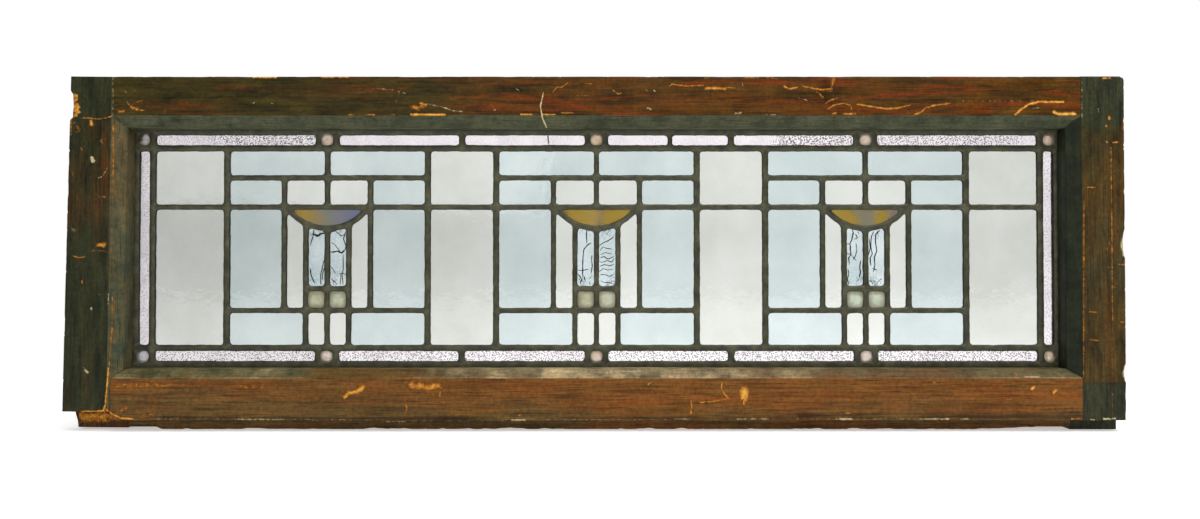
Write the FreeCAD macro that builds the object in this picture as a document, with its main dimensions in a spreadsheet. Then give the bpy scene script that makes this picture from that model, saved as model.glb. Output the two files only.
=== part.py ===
"""Leaded-glass transom sash: a mortised wooden frame around a came lattice glazed with coloured panes.

Millimetres, +Z up, +X along the sash and +Y from its moulded face to its glazed back.
The origin is the middle of the underside of the sill lip.
"""
import FreeCAD, Part
import os
import re
import Sketcher

SIZES = [
    ("outer_column", 87.7, "clear column at each end, lead line to lead line"),
    ("inner_column", 80.9, "clear column between two motifs"),
    ("motif_half", 118.7, "motif's middle line to its outer line"),
    ("flank_offset", 50.9, "motif's middle line to the line outside its narrow panes"),
    ("slot_offset", 25.4, "motif's middle line to the line outside its crackle panes"),
    ("base_row", 44.2, "height of the lowest row of the motif"),
    ("opal_row", 25.8, "height of the opal squares"),
    ("main_row", 122.2, "height of the tall row"),
    ("second_row", 34.7, "height of the row above the half-moon"),
    ("top_row", 35.0, "height of the top row"),
    ("bow_radius", 57.7, "radius of the came under the half-moon"),
    ("bow_drop", 22.1, "depth of the half-moon below its chord line"),
    ("border_band", 21.7, "field's outer line to the heart of the edge came"),
    ("jewel_half", 10.4, "border jewel's middle to the lead line beside it"),
    ("mend_offset", 87.1, "mending came in the top border, from the middle of the panel"),
    ("main_came", 7.2, "width of the heavy came"),
    ("fine_came", 6.2, "width of the light came"),
    ("mend_came", 5.4, "width of the mending came"),
    ("edge_came", 12.4, "width of the came round the panel"),
    ("heart_thick", 1.6, "thickness of a came's heart"),
    ("leaf_rise", 1.6, "height of a came's leaf over the glass"),
    ("leaf_lip", 0.5, "thickness of a leaf at its lip"),
    ("crown_inset", 1.7, "flat crown of a came, set in from its lip"),
    ("glass_thick", 3.0, "thickness of every pane"),
    ("channel_play", 0.2, "room for a pane in its channel, both faces together"),
    ("heart_play", 0.5, "room between a pane's edge and the heart"),
    ("sash_thick", 44.5, "thickness of the sash"),
    ("stile_wide", 50.0, "face of a stile"),
    ("top_rail_wide", 45.5, "face of the top rail"),
    ("bottom_rail_wide", 47.0, "face of the bottom rail"),
    ("bevel_wide", 11.5, "bevel round the opening, across the face"),
    ("bevel_deep", 9.5, "bevel round the opening, into the sash"),
    ("glass_setback", 28.5, "face of the sash to the front of the leaded panel"),
    ("came_reveal", 6.4, "edge came that shows inside the sight line"),
    ("panel_play", 1.6, "room between the panel's edge and the rabbet"),
    ("lip_drop", 14.0, "sill lip below the front of the bottom rail"),
    ("lip_thick", 22.3, "thickness of the sill lip"),
    ("left_rise", 10.0, "front of the left stile ends this much higher"),
    ("left_lean", 0.5, "degrees by which the left stile has pulled away at its foot"),
    ("tenon_thick", 12.7, "thickness of a tenon"),
    ("tenon_tall", 30.0, "height of a tenon"),
    ("tenon_setback", 12.0, "face of the sash to the tenon"),
    ("tenon_haunch", 12.0, "edge of the rail to the tenon"),
    ("tenon_short", 1.0, "tenon's end inside the stile's edge"),
    ("joint_play", 0.6, "room round a tenon in its mortise"),
    ("stop_wide", 12.0, "width of a glazing stop"),
    ("stop_bevel", 4.0, "bevel on a glazing stop"),
    ("stop_play", 0.2, "room between a glazing stop and the rabbet"),
    ("chip_below", 26.0, "top of the sash to the break in the left stile's edge"),
    ("chip_tall", 16.0, "height of the break at the back of the stile"),
    ("chip_deep", 3.5, "depth of the break at the back of the stile"),
    ("chip_flare", 7.0, "degrees by which the break widens towards the face"),
]

ALIASES = re.compile(r"\b(" + "|".join(name for name, value, note in SIZES) + r")\b")

# Heights of the lead lines and of the sash's own edges, from the underside of the sill lip
SIGHT_LOW = "(lip_drop + bottom_rail_wide + bevel_wide)"
SIGHT_TO_FIELD = "(border_band - edge_came / 2 + came_reveal)"
FIELD_LOW = f"({SIGHT_LOW} + {SIGHT_TO_FIELD})"
BASE_LINE = f"({FIELD_LOW} + base_row)"
OPAL_LINE = f"({BASE_LINE} + opal_row)"
CHORD_LINE = f"({BASE_LINE} + main_row)"
SECOND_LINE = f"({CHORD_LINE} + second_row)"
FIELD_HIGH = f"({SECOND_LINE} + top_row)"
EDGE_LOW = f"({FIELD_LOW} - border_band)"
EDGE_HIGH = f"({FIELD_HIGH} + border_band)"
SIGHT_HIGH = f"({FIELD_HIGH} + {SIGHT_TO_FIELD})"
SASH_HIGH = f"({SIGHT_HIGH} + bevel_wide + top_rail_wide)"
BOW_MIDDLE = f"({CHORD_LINE} + bow_radius - bow_drop)"
BOW_FOOT = f"({CHORD_LINE} - bow_drop)"
SLOT_HEAD = f"({BOW_MIDDLE} - sqrt(bow_radius ^ 2 - slot_offset ^ 2))"

# Distances from the middle of the panel
FIELD_HALF = "(3 * motif_half + inner_column + outer_column)"
EDGE_HALF = f"({FIELD_HALF} + border_band)"
SASH_HALF = f"({FIELD_HALF} + {SIGHT_TO_FIELD} + bevel_wide + stile_wide)"
MOTIF_PITCH = "(2 * motif_half + inner_column)"
COLUMN_MIDDLE = "(motif_half + inner_column / 2)"
LEDGE = "(edge_came - came_reveal + panel_play)"
RABBET_HALF = f"({EDGE_HALF} + edge_came / 2 + panel_play)"
RABBET_LOW = f"({SIGHT_LOW} - {LEDGE})"
RABBET_HIGH = f"({SIGHT_HIGH} + {LEDGE})"

# Depths, from the face of the sash towards its back
FACE = "(lip_thick / 2 - sash_thick)"
CAME_DEEP = "(2 * leaf_rise + glass_thick + channel_play)"
CAME_FACE = f"({FACE} + glass_setback)"
GLASS_FACE = f"({CAME_FACE} + leaf_rise + channel_play / 2)"
STOP_THICK = f"(sash_thick - glass_setback - {CAME_DEEP})"

# The left stile leans about the top of its outer edge
LEAN = "(left_lean * 1 deg)"
LEAN_TRIM = f"((stile_wide + bevel_wide) * sin({LEAN}))"

MOTIFS = {"left": f"(0 - {MOTIF_PITCH})", "centre": "0", "right": MOTIF_PITCH}
SIDES = {"left": "-1", "right": "1"}
SHAPES_FOR_FILES = []

doc = FreeCAD.newDocument("transom_window")
sheet = doc.addObject("Spreadsheet::Sheet", "Sizes")
for row, (name, value, note) in enumerate(SIZES, start=1):
    sheet.set(f"A{row}", note)
    sheet.set(f"B{row}", str(value))
    sheet.setAlias(f"B{row}", name)
doc.recompute()


def bind(thing, **formulas):
    """Ties properties to formulas of the sheet's sizes; two underscores stand for a dot."""
    for path, formula in formulas.items():
        thing.setExpression(path.replace("__", "."), ALIASES.sub(r"Sizes.\1", formula))


def place(thing, across, deep, up):
    bind(thing, Placement__Base__x=across, Placement__Base__y=deep, Placement__Base__z=up)


def turn(thing, degrees):
    """Turns a thing about the direction from face to back."""
    thing.Placement = FreeCAD.Placement(FreeCAD.Vector(), FreeCAD.Rotation(FreeCAD.Vector(0, 1, 0), degrees))


def keep(thing, label):
    """Names a finished sub-part after its file."""
    thing.Label = label
    SHAPES_FOR_FILES.append(thing)
    return thing


def outline(sketch, corners):
    """Adds a closed outline whose corners are pinned by formulas, from the sketch's origin."""
    first = sketch.GeometryCount
    count = len(corners)
    turns = [FreeCAD.Rotation(FreeCAD.Vector(0, 0, 1), 360 * i / count) for i in range(count)]
    spots = [turn_to.multVec(FreeCAD.Vector(1, 0, 0)) for turn_to in turns]
    sketch.addGeometry([Part.LineSegment(spots[i - 1], spots[i]) for i in range(count)], False)
    joins = []
    pins = []
    formulas = []
    for i, (corner, spot) in enumerate(zip(corners, spots)):
        joins.append(Sketcher.Constraint("Coincident", first + i, 2, first + (i + 1) % count, 1))
        pairs = zip(corner, ("DistanceX", "DistanceY"), (-2, -1), (spot.x, spot.y))
        for formula, kind, axis, placed in pairs:
            if formula == "0":
                joins.append(Sketcher.Constraint("PointOnObject", first + i, 2, axis))
            else:
                pins.append(Sketcher.Constraint(kind, -1, 1, first + i, 2, placed))
                formulas.append(formula)
    sketch.addConstraint(joins)
    for index, formula in zip(sketch.addConstraint(pins), formulas):
        bind(sketch, **{f"Constraints[{index}]": formula})


def rectangle(left, right, low, high):
    return [(left, low), (right, low), (right, high), (left, high)]


def sketch_on(body, role, name):
    """A sketch on one of the body's own origin planes."""
    plane = next(feature for feature in body.Origin.OriginFeatures if feature.Role == role)
    sketch = body.newObject("Sketcher::SketchObject", name)
    sketch.AttachmentSupport = [(plane, "")]
    sketch.MapMode = "FlatFace"
    return sketch


def pad(body, sketch, length):
    feature = body.newObject("PartDesign::Pad", f"{sketch.Name}_pad")
    feature.Profile = sketch
    bind(feature, Length=length)
    doc.recompute()


def cut_through(body, sketch, away=True):
    """Cuts a sketch right through the body, on the side that its plane's normal points to or from."""
    before = body.Shape.Volume
    feature = body.newObject("PartDesign::Pocket", f"{sketch.Name}_cut")
    feature.Profile = sketch
    feature.Type = "ThroughAll"
    feature.Reversed = away
    doc.recompute()
    if body.Shape.Volume > before - 1:
        raise RuntimeError(f"{feature.Name} cuts nothing")


def stile_section(edge, towards):
    """Section of a stile, from its outer edge inwards; towards is the sign of that direction."""
    def step(distance):
        return distance if edge == "0" else f"{edge} {towards} {distance}"
    sight = "(stile_wide + bevel_wide)"
    wall = f"({sight} - {LEDGE})"
    return [
        (edge, "0"), (step("stile_wide"), "0"), (step(sight), "bevel_deep"), (step(sight), "glass_setback"),
        (step(wall), "glass_setback"), (step(wall), "sash_thick"), (edge, "sash_thick"),
    ]


def tenon_band(low):
    """Room that a mortise leaves round a tenon, in the sketch of a stile's edge."""
    return rectangle(
        "tenon_setback - joint_play / 2", "tenon_setback + tenon_thick + joint_play / 2",
        f"{low} - joint_play", f"{low} + tenon_tall + joint_play",
    )


TENON_LOW = "(lip_drop + tenon_haunch)"
TENON_HIGH = f"({SASH_HIGH} - tenon_haunch - tenon_tall)"


def make_stile(side, length, foot, section):
    """A stile: its moulded section, full height, cut for the sill lip and for both tenons."""
    body = doc.addObject("PartDesign::Body", f"{side}_stile")
    profile = sketch_on(body, "XY_Plane", f"{side}_stile_section")
    outline(profile, section)
    pad(body, profile, length)
    rebate = sketch_on(body, "YZ_Plane", f"{side}_stile_rebate")
    outline(rebate, rectangle("0", "sash_thick - lip_thick", "0", foot))
    cut_through(body, rebate)
    shift = f"({SASH_HIGH} - {length}) / 2"
    for end, low in (("low", TENON_LOW), ("high", TENON_HIGH)):
        mortise = sketch_on(body, "YZ_Plane", f"{side}_stile_mortise_{end}")
        outline(mortise, tenon_band(f"{low} - {shift}"))
        cut_through(body, mortise)
    return keep(body, f"{side}_stile")


def make_left_stile():
    """The left stile: its joints have let go, it leans out at the foot and its edge is broken."""
    length = f"({SASH_HIGH} - {LEAN_TRIM})"
    body = make_stile("left", length, "lip_drop + left_rise", stile_section("0", "+"))
    chip_top = f"({length} - chip_below)"
    chip = sketch_on(body, "XZ_Plane", "left_stile_chip")
    bind(chip, AttachmentOffset__Base__z="0 - sash_thick")
    outline(chip, [
        ("0", chip_top),
        ("chip_deep * 0.7", f"{chip_top} - chip_tall * 0.08"),
        ("chip_deep", f"{chip_top} - chip_tall * 0.4"),
        ("chip_deep * 0.6", f"{chip_top} - chip_tall * 0.7"),
        ("0", f"{chip_top} - chip_tall"),
    ])
    before = body.Shape.Volume
    pocket = body.newObject("PartDesign::Pocket", "left_stile_chip_cut")
    pocket.Profile = chip
    pocket.Reversed = True
    bind(pocket, Length="sash_thick", TaperAngle="chip_flare")
    doc.recompute()
    if body.Shape.Volume > before - 1:
        raise RuntimeError("the break in the left stile cuts nothing")
    turn(body, 1)
    bind(body, Placement__Rotation__Angle="left_lean")
    place(body, f"0 - {SASH_HALF} - {length} * sin({LEAN})", FACE, f"{SASH_HIGH} - {length} * cos({LEAN})")


def make_right_stile():
    body = make_stile("right", SASH_HIGH, "lip_drop", stile_section("(stile_wide + bevel_wide)", "-"))
    place(body, f"{SASH_HALF} - stile_wide - bevel_wide", FACE, "0")


def make_rail(name, section, tenon_low):
    """A rail: its moulded section, coped over both stiles, with a tenon into each."""
    body = doc.addObject("PartDesign::Body", name)
    profile = sketch_on(body, "YZ_Plane", f"{name}_section")
    outline(profile, section)
    pad(body, profile, f"2 * {SASH_HALF}")
    cope = sketch_on(body, "XY_Plane", f"{name}_cope")
    outline(cope, stile_section("0", "+"))
    outline(cope, stile_section(f"2 * {SASH_HALF}", "-"))
    cut_through(body, cope)
    tenon = sketch_on(body, "YZ_Plane", f"{name}_tenon")
    bind(tenon, AttachmentOffset__Base__z="tenon_short")
    tenon_high = f"{tenon_low} + tenon_tall"
    outline(tenon, rectangle("tenon_setback", "tenon_setback + tenon_thick", tenon_low, tenon_high))
    pad(body, tenon, f"2 * {SASH_HALF} - 2 * tenon_short")
    place(body, f"0 - {SASH_HALF}", FACE, "0")
    keep(body, name)


def make_rails():
    make_rail("top_rail", [
        ("0", SASH_HIGH), ("0", f"{SIGHT_HIGH} + bevel_wide"), ("bevel_deep", SIGHT_HIGH),
        ("glass_setback", SIGHT_HIGH), ("glass_setback", RABBET_HIGH), ("sash_thick", RABBET_HIGH),
        ("sash_thick", SASH_HIGH),
    ], TENON_HIGH)
    lip_face = "(sash_thick - lip_thick)"
    make_rail("bottom_rail", [
        ("0", "lip_drop"), (lip_face, "lip_drop"), (lip_face, "0"), ("sash_thick", "0"),
        ("sash_thick", RABBET_LOW), ("glass_setback", RABBET_LOW), ("glass_setback", SIGHT_LOW),
        ("bevel_deep", SIGHT_LOW), ("0", f"{SIGHT_LOW} - bevel_wide"),
    ], TENON_LOW)


def make_stop(side, length, degrees):
    """A glazing stop lying along its rabbet, bevelled towards the room and mitred at both ends."""
    body = doc.addObject("PartDesign::Body", f"stop_{side}")
    profile = sketch_on(body, "YZ_Plane", f"stop_{side}_section")
    outline(profile, [
        ("0", "0"), (STOP_THICK, "0"), (STOP_THICK, "stop_wide - stop_bevel"),
        (f"{STOP_THICK} - stop_bevel", "stop_wide"), ("0", "stop_wide"),
    ])
    pad(body, profile, length)
    mitre = sketch_on(body, "XZ_Plane", f"stop_{side}_mitre")
    outline(mitre, [("0", "0"), ("stop_wide", "stop_wide"), ("0", "stop_wide")])
    outline(mitre, [(length, "0"), (length, "stop_wide"), (f"{length} - stop_wide", "stop_wide")])
    cut_through(body, mitre, away=False)
    turn(body, degrees)
    return keep(body, f"stop_{side}")


def make_stops():
    deep = f"{CAME_FACE} + {CAME_DEEP}"
    across = f"({RABBET_HALF} - stop_play)"
    low = f"({RABBET_LOW} + stop_play)"
    high = f"({RABBET_HIGH} - stop_play)"
    place(make_stop("bottom", f"2 * {across}", 0), f"0 - {across}", deep, low)
    place(make_stop("top", f"2 * {across}", 180), across, deep, high)
    place(make_stop("right", f"({high} - {low})", -90), across, deep, low)
    left = make_stop("left", f"({high} - {low})", 90)
    bind(left, Placement__Rotation__Angle="90 + left_lean")
    in_from_edge = f"({SASH_HALF} - {across})"
    below_top = f"({SASH_HIGH} - {high})"
    place(
        left,
        f"0 - {SASH_HALF} + {in_from_edge} * cos({LEAN}) - {below_top} * sin({LEAN})",
        deep,
        f"{SASH_HIGH} - {in_from_edge} * sin({LEAN}) - {below_top} * cos({LEAN})",
    )


def came_section(name, width):
    """H-section of a came: two leaves, each with a flat crown and a thin lip, joined by the heart."""
    sketch = doc.addObject("Sketcher::SketchObject", f"{name}_section")
    back_glass = "(leaf_rise + glass_thick + channel_play)"
    heart_left = f"({width} - heart_thick) / 2"
    heart_right = f"({width} + heart_thick) / 2"
    crown_right = f"{width} - crown_inset"
    outline(sketch, [
        ("crown_inset", "0"), (crown_right, "0"), (width, "leaf_rise - leaf_lip"), (width, "leaf_rise"),
        (heart_right, "leaf_rise"), (heart_right, back_glass), (width, back_glass),
        (width, f"{back_glass} + leaf_lip"), (crown_right, CAME_DEEP), ("crown_inset", CAME_DEEP),
        ("0", f"{back_glass} + leaf_lip"), ("0", back_glass), (heart_left, back_glass),
        (heart_left, "leaf_rise"), ("0", "leaf_rise"), ("0", "leaf_rise - leaf_lip"),
    ])
    return sketch


def drawn_came(name, sketch, length):
    came = doc.addObject("Part::Extrusion", name)
    came.Base = sketch
    came.DirMode = "Normal"
    came.Solid = True
    bind(came, LengthFwd=length)
    return came


def upright_came(name, across, low, high, width="main_came"):
    """A came standing on a lead line."""
    sketch = came_section(name, width)
    place(sketch, f"{across} - {width} / 2", CAME_FACE, low)
    return drawn_came(name, sketch, f"{high} - ({low})")


def level_came(name, up, left, right, width="fine_came"):
    """A came lying along a lead line."""
    sketch = came_section(name, width)
    turn(sketch, 90)
    place(sketch, left, CAME_FACE, f"{up} + {width} / 2")
    return drawn_came(name, sketch, f"{right} - ({left})")


def bowed_came(name, middle):
    """The came under a half-moon, bent to an arc that hangs from the chord line."""
    sketch = came_section(name, "fine_came")
    turn(sketch, 90)
    place(sketch, middle, CAME_FACE, f"{BOW_FOOT} + fine_came / 2")
    came = doc.addObject("Part::Revolution", name)
    came.Source = sketch
    came.Axis = FreeCAD.Vector(0, 1, 0)
    came.Solid = True
    came.Symmetric = True
    bind(came, Base__x=middle, Base__z=BOW_MIDDLE, Angle="2 * acos(1 - bow_drop / bow_radius)")
    return came


def soldered(name, cames):
    """Cames fused where they cross."""
    lattice = doc.addObject("Part::MultiFuse", name)
    lattice.Shapes = cames
    lattice.Refine = True
    return lattice


def group(name, members):
    together = doc.addObject("Part::Compound", name)
    together.Links = members
    return together


def butted(name, came, against):
    """A came or lattice cut to fit the ones that it runs into."""
    fitted = doc.addObject("Part::Cut", name)
    fitted.Base = came
    fitted.Tool = against
    return fitted


def border_lines(edge):
    """Places of the short cames across the top or bottom border, by name."""
    lines = {"corner_left": f"(0 - {FIELD_HALF})", "corner_right": FIELD_HALF}
    for motif, middle in MOTIFS.items():
        lines[f"{motif}_jewel_left"] = f"({middle} - jewel_half)"
        lines[f"{motif}_jewel_right"] = f"({middle} + jewel_half)"
    lines["column_left"] = f"(0 - {COLUMN_MIDDLE})"
    lines["column_right"] = COLUMN_MIDDLE
    if edge == "top":
        lines["mend"] = "mend_offset"
    return lines


def make_border_lattice(edge, field_line, edge_line, ends):
    """Top or bottom border: edge came and field line, fitted between the ends, and the short cames."""
    long_cames = [
        level_came(f"{edge}_edge", edge_line, f"(0 - {EDGE_HALF})", EDGE_HALF, "edge_came"),
        level_came(f"{edge}_field", field_line, f"(0 - {EDGE_HALF})", EDGE_HALF, "main_came"),
    ]
    cames = [butted(f"{came.Name}_fitted", came, ends) for came in long_cames]
    low, high = (field_line, edge_line) if edge == "top" else (edge_line, field_line)
    for line, across in border_lines(edge).items():
        width = "mend_came" if line == "mend" else "main_came"
        cames.append(upright_came(f"{edge}_{line}", across, low, high, width))
    return keep(soldered(f"{edge}_border", cames), f"came_border_{edge}")


def make_motif_lattice(motif, middle, borders):
    """One motif: its two heavy uprights and the light cames that divide it."""
    def beside(offset, sign):
        return f"({middle} {sign} {offset})"
    left, right = beside("motif_half", "-"), beside("motif_half", "+")
    cames = [
        upright_came(f"{motif}_stem_top", middle, CHORD_LINE, FIELD_HIGH, "fine_came"),
        upright_came(f"{motif}_stem_foot", middle, FIELD_LOW, BOW_FOOT, "fine_came"),
        level_came(f"{motif}_second", SECOND_LINE, left, right),
        level_came(f"{motif}_chord", CHORD_LINE, left, right),
        level_came(f"{motif}_base", BASE_LINE, left, right),
        level_came(f"{motif}_opal", OPAL_LINE, beside("slot_offset", "-"), beside("slot_offset", "+")),
        bowed_came(f"{motif}_bow", middle),
    ]
    for side, sign in (("left", "-"), ("right", "+")):
        cames.append(upright_came(f"{motif}_main_{side}", beside("motif_half", sign), FIELD_LOW, FIELD_HIGH))
        flank = beside("flank_offset", sign)
        cames.append(upright_came(f"{motif}_flank_{side}", flank, BASE_LINE, SECOND_LINE, "fine_came"))
        slot = beside("slot_offset", sign)
        cames.append(upright_came(f"{motif}_slot_{side}", slot, FIELD_LOW, SLOT_HEAD, "fine_came"))
    return keep(butted(f"{motif}_motif", soldered(f"{motif}_cames", cames), borders), f"came_motif_{motif}")


def clear_columns():
    """Left and right lead lines of the clear columns."""
    field = {"left": f"(0 - {FIELD_HALF})", "right": FIELD_HALF}
    return [
        (field["left"], f"({field['left']} + outer_column)"),
        ("(0 - motif_half - inner_column)", "(0 - motif_half)"),
        ("motif_half", "(motif_half + inner_column)"),
        (f"({field['right']} - outer_column)", field["right"]),
    ]


def make_lattice():
    """The came lattice, in pieces that butt against each other as soldered cames do."""
    foot = f"{EDGE_LOW} - edge_came / 2"
    head = f"{EDGE_HIGH} + edge_came / 2"
    edges = []
    inner = {}
    for side, sign in SIDES.items():
        across = f"({sign} * {EDGE_HALF})"
        edges.append(upright_came(f"{side}_edge", across, foot, head, "edge_came"))
        inner[side] = upright_came(f"{side}_field", f"({sign} * {FIELD_HALF})", FIELD_LOW, FIELD_HIGH)
    ends = group("edge_ends", edges)
    borders = group("borders", [
        make_border_lattice("top", FIELD_HIGH, EDGE_HIGH, ends),
        make_border_lattice("bottom", FIELD_LOW, EDGE_LOW, ends),
    ])
    uprights = []
    for (side, came), edge in zip(inner.items(), edges):
        fitted = butted(f"{side}_field_fitted", came, borders)
        uprights.append(fitted)
        keep(group(f"{side}_border", [edge, fitted]), f"came_border_{side}")
    for motif, middle in MOTIFS.items():
        uprights.append(make_motif_lattice(motif, middle, borders))
    bars = [level_came(f"crossbar_{i}", CHORD_LINE, *lines) for i, lines in enumerate(clear_columns())]
    crossbars = butted("crossbars", group("crossbar_cames", bars), group("crossbar_ends", uprights))
    keep(crossbars, "came_crossbars")


def pane(name, left, right, low, high):
    """A rectangular pane between four lead lines, let into their cames."""
    inset = "(heart_thick / 2 + heart_play)"
    box = doc.addObject("Part::Box", name)
    bind(box, Length=f"{right} - ({left}) - 2 * {inset}", Width="glass_thick")
    bind(box, Height=f"{high} - ({low}) - 2 * {inset}")
    place(box, f"{left} + {inset}", GLASS_FACE, f"{low} + {inset}")
    return box


def bow_cutter(name, middle, radius):
    """A round block about the bow's middle, to cut panes along the bowed came."""
    block = doc.addObject("Part::Cylinder", name)
    block.Placement = FreeCAD.Placement(FreeCAD.Vector(), FreeCAD.Rotation(FreeCAD.Vector(1, 0, 0), -90))
    bind(block, Radius=radius, Height="3 * glass_thick")
    place(block, middle, f"{GLASS_FACE} - glass_thick", BOW_MIDDLE)
    return block


def make_motif_glass(motif, middle):
    """Panes of one motif, sorted by their glass."""
    def line(offset):
        return f"({middle} {offset})"
    main_left, main_right = line("- motif_half"), line("+ motif_half")
    flank_left, flank_right = line("- flank_offset"), line("+ flank_offset")
    slot_left, slot_right = line("- slot_offset"), line("+ slot_offset")
    bow_inset = "(heart_thick / 2 + heart_play)"
    outside = bow_cutter(f"{motif}_bow_outside", middle, f"bow_radius + {bow_inset}")
    inside = bow_cutter(f"{motif}_bow_inside", middle, f"bow_radius - {bow_inset}")

    blue = [
        pane(f"{motif}_blue_top_left", main_left, middle, SECOND_LINE, FIELD_HIGH),
        pane(f"{motif}_blue_top_right", middle, main_right, SECOND_LINE, FIELD_HIGH),
        pane(f"{motif}_blue_second_left", main_left, flank_left, CHORD_LINE, SECOND_LINE),
        pane(f"{motif}_blue_second_right", flank_right, main_right, CHORD_LINE, SECOND_LINE),
        pane(f"{motif}_blue_tall_left", main_left, flank_left, BASE_LINE, CHORD_LINE),
        pane(f"{motif}_blue_tall_right", flank_right, main_right, BASE_LINE, CHORD_LINE),
        pane(f"{motif}_blue_base_left", main_left, slot_left, FIELD_LOW, BASE_LINE),
        pane(f"{motif}_blue_base_right", slot_right, main_right, FIELD_LOW, BASE_LINE),
    ]
    narrow_left = pane(f"{motif}_narrow_left", flank_left, slot_left, BASE_LINE, CHORD_LINE)
    narrow_right = pane(f"{motif}_narrow_right", slot_right, flank_right, BASE_LINE, CHORD_LINE)
    clear = [
        pane(f"{motif}_clear_second_left", flank_left, middle, CHORD_LINE, SECOND_LINE),
        pane(f"{motif}_clear_second_right", middle, flank_right, CHORD_LINE, SECOND_LINE),
        butted(f"{motif}_narrow_left_cut", narrow_left, outside),
        butted(f"{motif}_narrow_right_cut", narrow_right, outside),
        pane(f"{motif}_clear_base_left", slot_left, middle, FIELD_LOW, BASE_LINE),
        pane(f"{motif}_clear_base_right", middle, slot_right, FIELD_LOW, BASE_LINE),
    ]
    crackle_left = pane(f"{motif}_crackle_left", slot_left, middle, OPAL_LINE, CHORD_LINE)
    crackle_right = pane(f"{motif}_crackle_right", middle, slot_right, OPAL_LINE, CHORD_LINE)
    crackle = [
        butted(f"{motif}_crackle_left_cut", crackle_left, outside),
        butted(f"{motif}_crackle_right_cut", crackle_right, outside),
    ]
    opal = [
        pane(f"{motif}_opal_left", slot_left, middle, BASE_LINE, OPAL_LINE),
        pane(f"{motif}_opal_right", middle, slot_right, BASE_LINE, OPAL_LINE),
    ]
    keep(group(f"{motif}_blue", blue), f"blue_panes_{motif}")
    keep(group(f"{motif}_clear", clear), f"clear_panes_{motif}")
    keep(group(f"{motif}_crackle", crackle), f"crackle_panes_{motif}")
    keep(group(f"{motif}_opals", opal), f"opal_squares_{motif}")

    half_moon = doc.addObject("Part::Common", f"{motif}_half_moon")
    half_moon.Base = pane(f"{motif}_half_moon_block", main_left, main_right, BASE_LINE, CHORD_LINE)
    half_moon.Tool = inside
    keep(half_moon, f"half_moon_{motif}")


def make_border_glass(edge, low, high):
    """Strips and jewels of the top or bottom border, from one short came to the next."""
    lines = border_lines(edge)
    left_edge, right_edge = f"(0 - {EDGE_HALF})", EDGE_HALF
    jewels = [pane(f"{edge}_jewel_corner_left", left_edge, lines["corner_left"], low, high)]
    for motif in MOTIFS:
        sides = lines[f"{motif}_jewel_left"], lines[f"{motif}_jewel_right"]
        jewels.append(pane(f"{edge}_jewel_{motif}", *sides, low, high))
    jewels.append(pane(f"{edge}_jewel_corner_right", lines["corner_right"], right_edge, low, high))

    order = ["corner_left", "left_jewel_left", "left_jewel_right", "column_left", "centre_jewel_left",
             "centre_jewel_right", "column_right", "right_jewel_left", "right_jewel_right", "corner_right"]
    if edge == "top":
        order.insert(order.index("column_right"), "mend")
    strips = []
    for left, right in zip(order, order[1:]):
        if left.endswith("jewel_left"):
            continue
        strips.append(pane(f"{edge}_strip_{left}", lines[left], lines[right], low, high))
    keep(group(f"{edge}_strips", strips), f"border_glass_{edge}")
    keep(group(f"{edge}_jewels", jewels), f"border_jewels_{edge}")


def make_glass():
    make_border_glass("top", FIELD_HIGH, EDGE_HIGH)
    make_border_glass("bottom", EDGE_LOW, FIELD_LOW)
    ends = (f"(0 - {EDGE_HALF})", f"(0 - {FIELD_HALF})"), (FIELD_HALF, EDGE_HALF)
    for side, (left, right) in zip(SIDES, ends):
        keep(pane(f"{side}_strip", left, right, FIELD_LOW, FIELD_HIGH), f"border_glass_{side}")
    columns = list(enumerate(clear_columns()))
    for part, low, high in (("upper", CHORD_LINE, FIELD_HIGH), ("lower", FIELD_LOW, CHORD_LINE)):
        panes = [pane(f"{part}_clear_{i}", *lines, low, high) for i, lines in columns]
        keep(group(f"{part}_clear", panes), f"clear_panes_{part}")
    for motif, middle in MOTIFS.items():
        make_motif_glass(motif, middle)


def write_parts():
    """Checks every object, then writes one file for each sub-part."""
    doc.recompute()
    for thing in doc.Objects:
        if "Invalid" in thing.State or "Error" in thing.State:
            raise RuntimeError(f"{thing.Label} failed: {thing.State}")
    for thing in SHAPES_FOR_FILES:
        if thing.Shape.isNull() or not thing.Shape.isValid():
            raise RuntimeError(f"{thing.Label} has no valid shape")
    os.makedirs("parts", exist_ok=True)
    for thing in SHAPES_FOR_FILES:
        thing.Shape.exportStep(f"parts/{thing.Label}.step")
        solids = thing.Shape.Solids
        print(f"{thing.Label}: {len(solids)} solids, {thing.Shape.Volume / 1000:.1f} cm3")


make_left_stile()
make_right_stile()
make_rails()
make_stops()
make_lattice()
make_glass()
write_parts()
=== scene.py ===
"""Leaded-glass transom sash: its worn wood, soldered cames and old glass, in the frame of its solids.

Shapes are worked out in millimetres and scaled to metres when a mesh is made.
"""

import math

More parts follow.
